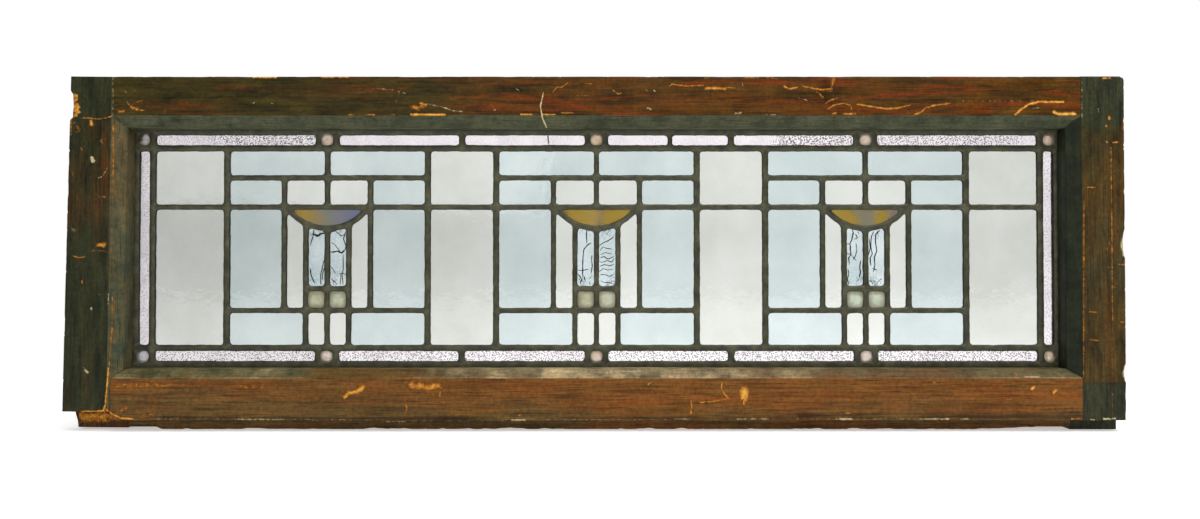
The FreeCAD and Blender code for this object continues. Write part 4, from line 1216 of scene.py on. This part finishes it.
def border_places(top):
    """Lead lines across the top or bottom border, from left to right."""
    places = [-EDGE_HALF, -FIELD_HALF, FIELD_HALF, EDGE_HALF, -COLUMN_MIDDLE, COLUMN_MIDDLE]
    places += [middle + sign * JEWEL_HALF for middle in MOTIFS.values() for sign in SIDES]
    return sorted(places + [MEND_LINE] if top else places)


def is_jewel(left, right):
    return right - left < BORDER_BAND + 0.1


def lattice_cells():
    cells = [cell for middle in MOTIFS.values() for cell in motif_cells(middle)]
    lines = [middle + sign * MOTIF_HALF for middle in MOTIFS.values() for sign in SIDES]
    lines = [-FIELD_HALF] + lines + [FIELD_HALF]
    for left, right in zip(lines[::2], lines[1::2]):
        cells.append(rectangle_cell(left, right, FIELD_LOW, CHORD_LINE))
        cells.append(rectangle_cell(left, right, CHORD_LINE, FIELD_HIGH))
    for low, high, top in ((EDGE_LOW, FIELD_LOW, False), (FIELD_HIGH, EDGE_HIGH, True)):
        places = border_places(top)
        for left, right in zip(places, places[1:]):
            reach = JEWEL_REACH if is_jewel(left, right) else CORNER_REACH
            cells.append(rectangle_cell(left, right, low, high, reach))
    cells.append(rectangle_cell(-EDGE_HALF, -FIELD_HALF, FIELD_LOW, FIELD_HIGH))
    cells.append(rectangle_cell(FIELD_HALF, EDGE_HALF, FIELD_LOW, FIELD_HIGH))
    return cells


OPENING_ROUNDS = 26
SLOW_WOBBLE, QUICK_WOBBLE, LUMPS = (0.7, 0.09, 50, 31), (0.8, 0.4, 90, 33), (0.4, 0.12, 90, 47)


def uneven(spots, size, pace, shift, seed):
    """Noise about zero at places on the lattice."""
    return size * (rough_noise(spots[:, 0] * pace + shift, spots[:, 1] * pace + shift, seed) - 0.5)


def opening(loop, room, spine):
    """Edge of a cell's opening, found from each boundary point towards the cell's spine."""
    loop, (start, stop) = np.array(loop), np.array(spine)
    run = stop - start
    share = np.clip((loop - start) @ run / max(float(run @ run), 1e-9), 0, 1)
    target = start + share[:, None] * run
    low, high = np.zeros(len(loop)), np.ones(len(loop))
    for _ in range(OPENING_ROUNDS):
        half = (low + high) / 2
        spot = loop + (target - loop) * half[:, None]
        wobble = uneven(spot, *SLOW_WOBBLE) + uneven(spot, *QUICK_WOBBLE)
        inside = room(spot[:, 0], spot[:, 1]) + wobble > 0
        high, low = np.where(inside, half, high), np.where(inside, low, half)
    return loop + (target - loop) * high[:, None]


CROWN, LIP, CHANNEL_PLAY, DARK_LIP = 1.75, 0.5, 0.06, 1.7
LEAF, LEAF_CURVE, MOST_HEART = (0.4, 0.72, 0.9, 1.0), 2.4, 0.45
SOLDER_RISE, SOLDER_REACH, BOW_SOLDER = 0.55, 5.5, 2.0


def solder_at(spots):
    """How near points of the lattice are to a soldered joint, 0 to 1."""
    joints = [(x, z) for x, low, high in UPRIGHTS for z, left, right in LEVELS
              if within(x, left, right) and within(z, low, high)]
    for middle in MOTIFS.values():
        joints.append((middle, BOW_FOOT))
        for sign in SIDES:
            joints.append((middle + sign * SLOT, SLOT_HEAD))
            joints.append((middle + sign * (BOW_SPREAD + BOW_SOLDER), CHORD_LINE - BOW_SOLDER))
    away = np.linalg.norm(spots[:, None, :] - np.array(joints)[None, :, :], axis=2)
    return np.exp(-(away.min(axis=1) / SOLDER_REACH) ** 2)


class Lattice:
    """Points and faces of the came lattice as its cells add to them."""

    def __init__(self):
        self.points, self.faces, self.solder, self.rim, self.crowns = [], [], [], [], {}

    def add(self, spot, deep, solder, rim=1.0):
        self.points.append((spot[0], deep, spot[1]))
        self.solder.append(solder)
        self.rim.append(rim)
        return len(self.points) - 1

    def crown(self, spot, deep, solder):
        """A point on a came's middle line, shared by the cells on both sides."""
        key = (round(spot[0], 2), round(spot[1], 2), round(deep, 3))
        if key not in self.crowns:
            self.crowns[key] = self.add(spot, deep, solder, 0.0)
        return self.crowns[key]

    def ring(self, spot, lip, tin, lump):
        """The section of a came from its crown round its lip and heart to its crown at the back."""
        way, wide = lip - spot, np.linalg.norm(lip - spot)
        heart = spot + way * min(MOST_HEART, HEART_HALF / max(wide, 1e-6))
        rise = CROWN + SOLDER_RISE * tin + lump
        leaf = []
        for t in LEAF:
            # How dark each leaf point is, for the cement and painted shade along a came's edges.
            dark = max(0.0, 1 - (1 - t) * wide / DARK_LIP)
            leaf.append((spot + way * t, LIP + (rise - LIP) * (1 - t ** LEAF_CURVE), dark))
        channel = (GLASS_FRONT - CHANNEL_PLAY, GLASS_BACK + CHANNEL_PLAY)
        ring = [self.crown(spot, GLASS_FRONT - rise, tin)]
        ring += [self.add(place, GLASS_FRONT - up, tin, dark) for place, up, dark in leaf]
        ring += [self.add(lip, channel[0], tin), self.add(heart, channel[0], tin)]
        ring += [self.add(heart, channel[1], tin), self.add(lip, channel[1], tin)]
        ring += [self.add(place, GLASS_BACK + up, tin, dark) for place, up, dark in leaf[::-2]]
        return ring + [self.crown(spot, GLASS_BACK + rise, tin)]

    def leaf(self, loop, edge):
        """The two leaves and the heart between a cell's boundary and its opening."""
        loop = np.array(loop)
        sections = zip(loop, edge, solder_at(loop), uneven(loop, *LUMPS))
        rings = [self.ring(*section) for section in sections]
        for first, second in zip(rings, rings[1:] + rings[:1]):
            self.faces += list(zip(first, first[1:], second[1:], second))


def outer_rim():
    """Boundary of the whole panel, and the outer lip of the edge came round it."""
    loop = box_loop(EDGE_HALF, -EDGE_HALF, EDGE_LOW, EDGE_HIGH)
    edge = []
    for x, z in loop:
        across = math.copysign(EDGE_CAME_HALF, x) if same(abs(x), EDGE_HALF) else 0.0
        up = EDGE_CAME_HALF if same(z, EDGE_HIGH) else -EDGE_CAME_HALF if same(z, EDGE_LOW) else 0.0
        edge.append((x + across, z + up))
    return loop, np.array(edge)


def make_lattice(material):
    lattice = Lattice()
    for loop, room, spine in lattice_cells():
        lattice.leaf(loop, opening(loop, room, spine))
    lattice.leaf(*outer_rim())
    nodes = [f"came_border_{edge}" for edge in EDGES]
    nodes += [f"came_motif_{motif}" for motif in MOTIFS] + ["came_crossbars"]
    face_outwards(make_piece("came_lattice", lattice.points, lattice.faces, material, "lead_came", *nodes,
                             solder=lattice.solder, rim=lattice.rim))


# Glass


def dress(node, material):
    """Gives a solid its material."""
    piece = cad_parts[node]
    piece.data.materials.clear()
    piece.data.materials.append(material)


DOME_STEPS, DOME_INSET, DOME_SUNK, BACK_SWELL = 12, 1.3, 0.02, 0.6


def dome(points, faces, rim, left, right, low, high, rise):
    """A lump of opal glass, crowned on both faces; rim gets how near its points are to its edge."""
    middle = np.array([left + right, low + high]) / 2
    half = np.array([right - left, high - low]) / 2 - DOME_INSET
    start, row, layer = len(points), DOME_STEPS + 1, (DOME_STEPS + 1) ** 2
    share = np.linspace(-1, 1, row)
    for front in (True, False):
        for u, v in ((u, v) for v in share for u in share):
            swell = rise * max(0.0, (1 - u ** 4) * (1 - v ** 4)) ** 0.7
            deep = GLASS_FRONT - swell + DOME_SUNK if front else GLASS_BACK + swell * BACK_SWELL - DOME_SUNK
            points.append((middle[0] + half[0] * u, deep, middle[1] + half[1] * v))
            rim.append((abs(u) ** 3 + abs(v) ** 3) ** (1 / 3))
    for i in range(DOME_STEPS):
        for a in range(start + i * row, start + i * row + DOME_STEPS):
            faces.append((a, a + 1, a + row + 1, a + row))
            faces.append((a + layer, a + row + layer, a + row + 1 + layer, a + 1 + layer))
    steps = range(DOME_STEPS)
    edge = [*steps, *(DOME_STEPS + k * row for k in steps), *(layer - 1 - k for k in steps),
            *(layer - row - k * row for k in steps)]
    for first, second in zip(edge, edge[1:] + edge[:1]):
        faces.append((start + first, start + second, start + second + layer, start + first + layer))


def make_lumps(name, boxes, pearls, dirts, rise, material, slot, node):
    """Opal lumps in their cells, each with its own tone, and its dirt at its left and right side."""
    points, faces, rim, pearl, dirt = [], [], [], [], []
    for box, grey, grime in zip(boxes, pearls, dirts):
        dome(points, faces, rim, *box, rise)
        pearl += [grey] * (len(points) - len(pearl))
        dirt += np.interp([point[0] for point in points[len(dirt):]], box[:2], grime).tolist()
    face_outwards(make_piece(name, points, faces, material, slot, node, pearl=pearl, dirt=dirt, rim=rim))


# How pearly grey, and how dirty on its left and right, each border jewel is, from left to right
PEARL = {"top": (0.8, 0.25, 0.0, 0.2, 0.15), "bottom": (1.0, 0.4, 0.3, 0.45, 0.1)}
DIRT = {"top": ((1.3, -0.3), (0.1, 0.1), (0.15, 0.15), (0.05, 0.05), (0.05, 0.05)),
        "bottom": ((0.2, 0.2), (0.1, 0.1), (0.1, 0.1), (0.1, 0.1), (0.45, 0.45))}
OPAL_PEARL = {"left": (0.4, 0.7), "centre": (0.35, 0.6), "right": (1.0, 0.85)}
OPAL_DIRT = ((0.05, 0.05), (0.1, 0.1))
JEWEL_RISE, OPAL_RISE = 1.5, 0.5


def make_jewels(edge, low, high, material):
    places = border_places(edge == "top")
    boxes = [(left, right, low, high) for left, right in zip(places, places[1:]) if is_jewel(left, right)]
    make_lumps(f"jewels_{edge}", boxes, PEARL[edge], DIRT[edge], JEWEL_RISE, material, "jewel_glass",
               f"border_jewels_{edge}")


def make_opals(motif, middle, material):
    boxes = [(left, left + SLOT, BASE_LINE, OPAL_LINE) for left in (middle - SLOT, middle)]
    make_lumps(f"opals_{motif}", boxes, OPAL_PEARL[motif], OPAL_DIRT, OPAL_RISE, material, "opal_glass",
               f"opal_squares_{motif}")


MOON_RADIUS, MOON_TOP, MOON_STEPS = BOW_RADIUS - FINE_HALF + 0.7, CHORD_LINE - 1.1, 36


def make_moon(motif, middle, material):
    """A half-moon of glass that reaches under the leaves of its bow and of the came above it."""
    spread = math.acos((BOW_MIDDLE - MOON_TOP) / MOON_RADIUS)
    angles = np.linspace(-spread, spread, MOON_STEPS)
    rim = [(middle + MOON_RADIUS * math.sin(a), BOW_MIDDLE - MOON_RADIUS * math.cos(a)) for a in angles]
    points = [(x, deep, z) for deep in (GLASS_FRONT, GLASS_BACK) for x, z in rim]
    faces = [list(range(MOON_STEPS)), list(range(MOON_STEPS, 2 * MOON_STEPS))]
    for k in range(MOON_STEPS):
        after = (k + 1) % MOON_STEPS
        faces.append((k, after, after + MOON_STEPS, k + MOON_STEPS))
    face_outwards(make_piece(f"moon_{motif}", points, faces, material, "amber_glass", f"half_moon_{motif}",
                             flat_faces=range(len(faces))))


# Cracks in the border, the crackle panes and the opal squares: half width in millimetres and pixels
CRACKS = {
    "border": [
        (0.30, [(548.2, 132), (548.0, 137), (548.7, 145)]),
    ],
    "left": [
        (0.55, [(312, 235), (314, 234), (317.5, 236), (321, 233.7), (325, 232.8)]),
        (0.25, [(314, 229), (313, 236), (310, 246)]),
        (0.25, [(324, 260), (322, 269), (320.5, 275), (321, 285)]),
        (0.25, [(324.4, 267), (322.8, 273), (322, 280)]),
        (0.28, [(310, 268), (311, 275), (313.4, 281), (315, 283)]),
        (0.45, [(330.4, 252), (334, 252), (337.5, 251), (341.6, 253), (345, 249.6)]),
        (0.22, [(343, 254), (343.3, 269), (342, 275), (343, 285)]),
        (0.22, [(339, 274), (343, 273), (346, 275)]),
        (0.22, [(341, 274), (340, 285)]),
        (0.22, [(331.5, 232), (335.5, 231), (341, 236), (345.6, 234)]),
        (0.22, [(330.6, 242.5), (334, 244), (338, 248.5), (340, 251)]),
        (0.25, [(345.6, 231), (343.5, 239), (346, 246), (344.6, 251)]),
        (0.20, [(330.6, 266), (334, 271), (335.5, 274)]),
        (0.20, [(330.6, 278), (335, 282), (337, 285)]),
    ],
    "centre": [
        (0.30, [(586.8, 229), (586.5, 236), (587, 244)]),
        (0.30, [(591.5, 242.5), (587.5, 245), (584, 249), (583, 256.5), (582.5, 277)]),
        (0.22, [(577.4, 270), (582, 270.6), (589, 269)]),
        (0.35, [(582, 278), (580, 284)]),
        (0.28, [(583.4, 275), (585.5, 281.5)]),
        (0.35, [(578, 274), (580.8, 277.5), (578.6, 280.6)]),
        (0.28, [(588.8, 279.4), (591.5, 276.6)]),
        (0.25, [(592, 255), (591.5, 260.5), (592.4, 266), (590.8, 274)]),
        (0.28, [(599, 245.8), (604, 242.5), (610, 239.8), (613.8, 236.4)]),
        (0.22, [(599.5, 251), (603, 247), (607, 248.5), (612.4, 249)]),
        (0.22, [(600, 255), (605.5, 252.5), (611.6, 254)]),
        (0.25, [(600, 258), (604, 256.5), (608, 259), (614.2, 256.5)]),
        (0.22, [(599, 261), (602, 262.5), (607, 260.5), (612, 262), (614.4, 258)]),
        (0.22, [(599.5, 266.5), (604, 264.5), (609.5, 266), (614.2, 264)]),
        (0.22, [(599, 272), (603, 268.5), (608, 270), (613.6, 269)]),
        (0.22, [(599.5, 275), (605.5, 274.6), (609.5, 276.6), (614.2, 274)]),
        (0.22, [(600, 280.6), (605, 282.6), (612, 282)]),
        (0.14, [(578, 299.4), (592.6, 299.6)]),
        (0.14, [(599.6, 299), (606, 302), (614, 298.6)]),
        (0.14, [(600, 302.6), (607, 299.4), (612, 302)]),
    ],
    "right": [
        (0.32, [(852, 229), (853.4, 232.4), (852, 239), (850, 244), (851, 254), (848.7, 258), (849.4, 265)]),
        (0.25, [(846, 244.2), (851, 243.8)]),
        (0.25, [(846, 254), (851, 253.8), (851.4, 256.2)]),
        (0.25, [(855.4, 233.8), (857.5, 237.8), (854, 239.8)]),
        (0.22, [(857.5, 231), (858.8, 233.8)]),
        (0.22, [(856, 242.5), (856.8, 251), (854.8, 258)]),
        (0.22, [(852, 255), (854, 258.5), (856.8, 261)]),
        (0.22, [(855.4, 255.8), (852.8, 260)]),
        (0.35, [(860.8, 260.5), (859.7, 266), (860.5, 272), (859.2, 278)]),
        (0.25, [(848, 268.5), (848.8, 274), (847.4, 279.3), (848.8, 284.6)]),
        (0.30, [(874, 231), (871.5, 236.4), (870.8, 245.8), (872.2, 253.8), (870.2, 258), (871, 266)]),
        (0.30, [(880, 230), (876, 233.8), (875.5, 241.8), (876.9, 251), (874.2, 258), (875, 264.5),
                (873.5, 272)]),
        (0.22, [(877.5, 231), (878.2, 236.4)]),
        (0.22, [(869.5, 239), (870.2, 247), (868.8, 255)]),
        (0.35, [(872.6, 268.6), (875.5, 269.2), (877, 270.6)]),
        (0.25, [(879, 280.6), (882, 278.6)]),
        (0.25, [(870.2, 279.3), (873, 284)]),
        (0.14, [(870, 295.6), (876, 300), (882, 303.6)]),
        (0.14, [(871, 299), (876.6, 301.6), (880, 298)]),
    ],
}
CRACK_PROUD, CRACK_DEEP, CRACK_SPREAD, CRACK_STEP, CRACK_SWAY = 0.06, 0.5, 2.0, 1.6, 0.7


def broken_line(spots):
    """A line through spots, divided into short pieces."""
    line = [spots[0]]
    for first, second in zip(spots, spots[1:]):
        pieces = max(2, math.ceil(np.linalg.norm(second - first) / CRACK_STEP))
        line += [first + (second - first) * k / pieces for k in range(1, pieces + 1)]
    return np.array(line)


def sliver(points, faces, spots, half, seed):
    """A crack's dirt-filled edge: a thin prism along a broken line, tapering to its ends."""
    line = broken_line(spots)
    count, start = len(line), len(points)
    run = np.gradient(line, axis=0)
    side = np.stack([-run[:, 1], run[:, 0]], axis=1)
    side /= np.maximum(np.linalg.norm(side, axis=1, keepdims=True), 1e-9)
    steps = np.arange(count)
    sway = CRACK_SWAY * (rough_noise(steps * 0.7, seed * 1.7, 61) - 0.5)
    thick = CRACK_SPREAD * half * (0.45 + 1.1 * rough_noise(steps * 0.5, seed * 2.3, 62))
    thick = thick * np.minimum(1.0, 0.25 + np.minimum(steps, steps[::-1]) / 2)
    for spot, way, wide in zip(line + side * sway[:, None], side, thick):
        for offset, deep in ((-1, -CRACK_PROUD), (1, -CRACK_PROUD), (1, CRACK_DEEP), (-1, CRACK_DEEP)):
            x, z = spot + way * wide * offset
            points.append((x, GLASS_FRONT + deep, z))
    for a in range(start, start + 4 * (count - 1), 4):
        for corner in range(4):
            after = (corner + 1) % 4
            faces.append((a + corner, a + after, a + 4 + after, a + 4 + corner))
    last = start + 4 * (count - 1)
    faces.append((start, start + 3, start + 2, start + 1))
    faces.append((last, last + 1, last + 2, last + 3))


def make_cracks(motif, material):
    points, faces = [], []
    for seed, (half, spots) in enumerate(CRACKS[motif]):
        sliver(points, faces, on_plane(spots, GLASS_FRONT), half, seed)
    slot = "border_glass" if motif == "border" else "crackle_glass"
    face_outwards(make_piece(f"cracks_{motif}", points, faces, material, slot))


AMBER, GOLD, UMBER = rgb(172, 146, 78), rgb(166, 138, 46), rgb(134, 100, 46)
MOON_GREY, MOON_BLUE, MOON_VIOLET = rgb(128, 129, 116), rgb(104, 110, 142), rgb(122, 114, 122)
MOON_TAN, MOON_SMOKE = rgb(148, 130, 84), rgb(128, 126, 130)
HALF_MOONS = {
    "left": ((0.05, UMBER), (0.20, GOLD), (0.36, MOON_TAN), (0.48, MOON_GREY), (0.64, MOON_SMOKE),
             (0.82, MOON_BLUE), (0.97, MOON_VIOLET)),
    "centre": ((0.05, UMBER), (0.25, GOLD), (0.45, AMBER), (0.56, MOON_TAN), (0.70, GOLD), (0.95, AMBER)),
    "right": ((0.05, AMBER), (0.30, GOLD), (0.52, MOON_GREY), (0.70, GOLD), (0.95, MOON_VIOLET)),
}

# Pitting of the border's glass, from left to right
TOP_PITTING = [(-525, 0.45), (-460, 0.50), (-425, 0.90), (-334, 0.95), (-320, 0.27), (205, 0.27),
               (218, 0.95), (305, 0.85), (325, 0.75), (495, 0.75), (510, 0.40)]
OTHER_PITTING = [(-EDGE_HALF, 0.45), (-FIELD_HALF, 0.45), (-512, 0.64), (0, 0.70), (512, 0.78),
                 (FIELD_HALF, 0.42), (EDGE_HALF, 0.42)]


def dress_glass():
    clear = sheet_glass("clear_glass", rgb(232, 235, 229), rgb(218, 221, 213))
    blue = sheet_glass("blue_glass", rgb(222, 234, 233), rgb(206, 220, 219))
    small = sheet_glass("clear_glass_small", rgb(240, 242, 237), rgb(228, 230, 223))
    crackle, dirt = crackle_glass(), crack_edge()
    top_strips = granular_glass("granular_glass_top", TOP_PITTING)
    other_strips = granular_glass("granular_glass", OTHER_PITTING)
    opal = opal_glass("opal_glass", (rgb(172, 166, 126), rgb(206, 200, 160)),
                      (rgb(178, 190, 166), rgb(216, 226, 208)), rgb(104, 88, 56), 0.5)
    jewel = opal_glass("jewel_glass", (rgb(208, 172, 134), rgb(248, 228, 204)),
                       (rgb(180, 180, 184), rgb(236, 234, 236)), rgb(92, 76, 52), 0.7)
    for edge in EDGES:
        dress(f"border_glass_{edge}", top_strips if edge == "top" else other_strips)
    for part in ("upper", "lower"):
        dress(f"clear_panes_{part}", clear)
    for motif, middle in MOTIFS.items():
        dress(f"blue_panes_{motif}", blue)
        dress(f"clear_panes_{motif}", small)
        dress(f"crackle_panes_{motif}", crackle)
        make_opals(motif, middle, opal)
        make_moon(motif, middle, streaky_glass(f"half_moon_glass_{motif}", middle, HALF_MOONS[motif]))
        make_cracks(motif, dirt)
    make_cracks("border", dirt)
    make_jewels("top", FIELD_HIGH, EDGE_HIGH, jewel)
    make_jewels("bottom", EDGE_LOW, FIELD_LOW, jewel)


# SHADE: painted shade for the right stile's bevel and wall, darker as if they face away from the light.
SLATE, SHADE = (rgb(54, 59, 42), rgb(78, 80, 58)), (rgb(25, 30, 20), rgb(40, 45, 29))
DUSTY = (rgb(66, 62, 46), rgb(90, 85, 63))
BOTTOM_DUST = ((rgb(68, 67, 44), rgb(112, 102, 68)), (rgb(104, 92, 66), rgb(184, 160, 118)))
LEFT_DUST = ((rgb(58, 65, 50), rgb(92, 84, 56)), (rgb(66, 58, 34), rgb(106, 84, 46)))


def dress_wood():
    top = wood("top_rail_wood", "x", (rgb(25, 23, 5), rgb(67, 56, 18)), (rgb(38, 26, 3), rgb(92, 59, 14)),
               rgb(124, 45, 6), (SLATE, SLATE), 0.35, 0.6)
    bottom = wood("bottom_rail_wood", "x", (rgb(62, 46, 20), rgb(112, 84, 42)),
                  (rgb(80, 48, 14), rgb(130, 84, 36)), rgb(134, 66, 15), BOTTOM_DUST, 0.6, 0.5)
    left = wood("left_stile_wood", "z", (rgb(18, 24, 13), rgb(52, 55, 32)),
                (rgb(37, 27, 6), rgb(85, 56, 16)), rgb(94, 46, 10), LEFT_DUST, 0.35, 0.65)
    # The right stile's bevel and wall take painted shade colours.
    right = wood("right_stile_wood", "z", (rgb(26, 32, 22), rgb(62, 64, 42)),
                 (rgb(41, 32, 10), rgb(86, 65, 27)), rgb(92, 53, 17), (SHADE, SHADE), 0.35, 0.45)
    stop = wood("stop_wood", "x", (rgb(58, 45, 25), rgb(88, 70, 42)), (rgb(66, 46, 23), rgb(98, 70, 39)),
                rgb(106, 64, 31), (DUSTY, DUSTY))
    make_rail("top_rail", moulded_rows(TOP_WIDE, TOP_BEVEL), top_rail_place, top_stain, top_film, top, 11)
    make_rail("bottom_rail", bottom_rows(), bottom_rail_place, bottom_stain, bottom_film, bottom, 23,
              has_lip=True)
    make_stile("left_stile", -1, LEFT_FOOT, left_edge, left_stain, 0.9, left, 37)
    make_stile("right_stile", 1, RIGHT_FOOT, right_edge, right_stain, 1.4, right, 53)
    for side in EDGES:
        dress(f"stop_{side}", stop)


# Stage

FLOOR_HALF, FLOOR_NEAR, FLOOR_FAR = 6.0, -6.0, 0.5
WHITE = (1.0, 1.0, 1.0, 1.0)


def make_floor():
    """A pale floor under the sash that glows, more strongly away from it: painted light, in place of a lit
    paper backdrop.
    """
    shader = Shader("pale_floor")
    paper = shader.between(shader.noise(6.0), (rgb(246, 246, 245), rgb(251, 251, 250)), 0.3, 0.7)
    away = shader.node("ShaderNodeVectorMath", "Value", {0: shader.place}, operation="LENGTH")
    # Painted light: the floor's glow, dimmer near the sash and brighter away from it.
    floor_glow = shader.ramp(away / FLOOR_HALF, (0.25, 0.45), (0.5, 1.0))
    shader.set(Base_Color=paper, Roughness=0.9, Emission_Color=WHITE, Emission_Strength=floor_glow)
    corners = [(-FLOOR_HALF, FLOOR_NEAR, 0), (FLOOR_HALF, FLOOR_NEAR, 0), (FLOOR_HALF, FLOOR_FAR, 0),
               (-FLOOR_HALF, FLOOR_FAR, 0)]
    mesh = bpy.data.meshes.new("floor")
    mesh.from_pydata(corners, [], [(0, 1, 2, 3)])
    mesh.materials.append(shader.material)
    floor = bpy.data.objects.new("floor", mesh)
    bpy.context.scene.collection.objects.link(floor)


def make_light(name, place, target, size, watts):
    lamp = bpy.data.lights.new(name, "AREA")
    lamp.shape = "RECTANGLE"
    lamp.size, lamp.size_y = size
    lamp.energy = watts
    light = bpy.data.objects.new(name, lamp)
    light.location = place
    x, y, z = np.array(target) - np.array(place)
    light.rotation_euler = (math.atan2(math.hypot(x, y), -z), 0, math.atan2(x, -y) + math.pi)
    bpy.context.scene.collection.objects.link(light)


AMBIENT = 0.2
# How bright the surroundings are behind the glass, from left to right and from below to above
SIDEWAYS = ((0.28, 0.72), (0.42, 0.90), (0.57, 1.08), (0.72, 0.97))
UPWARDS = ((0.45, 1.12), (0.475, 1.03), (0.50, 0.90), (0.52, 0.87), (0.57, 0.97))


def make_world():
    """White surroundings, softly darker to the left behind the glass, dim where they only light the sash."""
    world = bpy.data.worlds.new("studio")
    world.use_nodes = True
    nodes = Nodes(world.node_tree)
    way = nodes.node("ShaderNodeTexCoord", "Generated")
    across, up = (nodes.part(way, axis) * 0.5 + 0.5 for axis in "XZ")
    seen = nodes.node("ShaderNodeLightPath", "Is Camera Ray")
    through = nodes.node("ShaderNodeLightPath", "Is Transmission Ray")
    behind = nodes.ramp(across, *SIDEWAYS) * nodes.ramp(up, *UPWARDS) * through
    unseen = 1.0 - nodes.math("MAXIMUM", seen, through)
    background = world.node_tree.nodes["Background"].inputs
    nodes.feed(background["Strength"], nodes.math("MAXIMUM", unseen * AMBIENT + behind, seen))
    nodes.feed(background["Color"], WHITE)
    bpy.context.scene.world = world


def make_camera():
    lens = bpy.data.cameras.new("camera")
    lens.lens, lens.sensor_width = LENS, SENSOR
    lens.sensor_fit = "HORIZONTAL"
    camera = bpy.data.objects.new("camera", lens)
    camera.location = EYE * MM
    camera.rotation_euler = (math.pi / 2 + PITCH, 0, 0)
    bpy.context.scene.collection.objects.link(camera)
    bpy.context.scene.camera = camera


def make_stage():
    make_floor()
    make_world()
    make_light("overhead", (0.6, -0.9, 1.9), (0.0, 0.0, 0.1), (2.4, 1.6), 48.0)
    make_light("front_fill", (-0.9, -2.2, 1.0), (0.0, 0.0, 0.2), (1.6, 1.2), 7.0)
    make_light("behind", (0.0, 1.6, 1.6), (0.0, 0.0, 0.2), (2.4, 1.2), 18.0)
    make_camera()
    bpy.context.scene.view_settings.view_transform = "Standard"


dress_wood()
make_lattice(lead())
dress_glass()
make_stage()
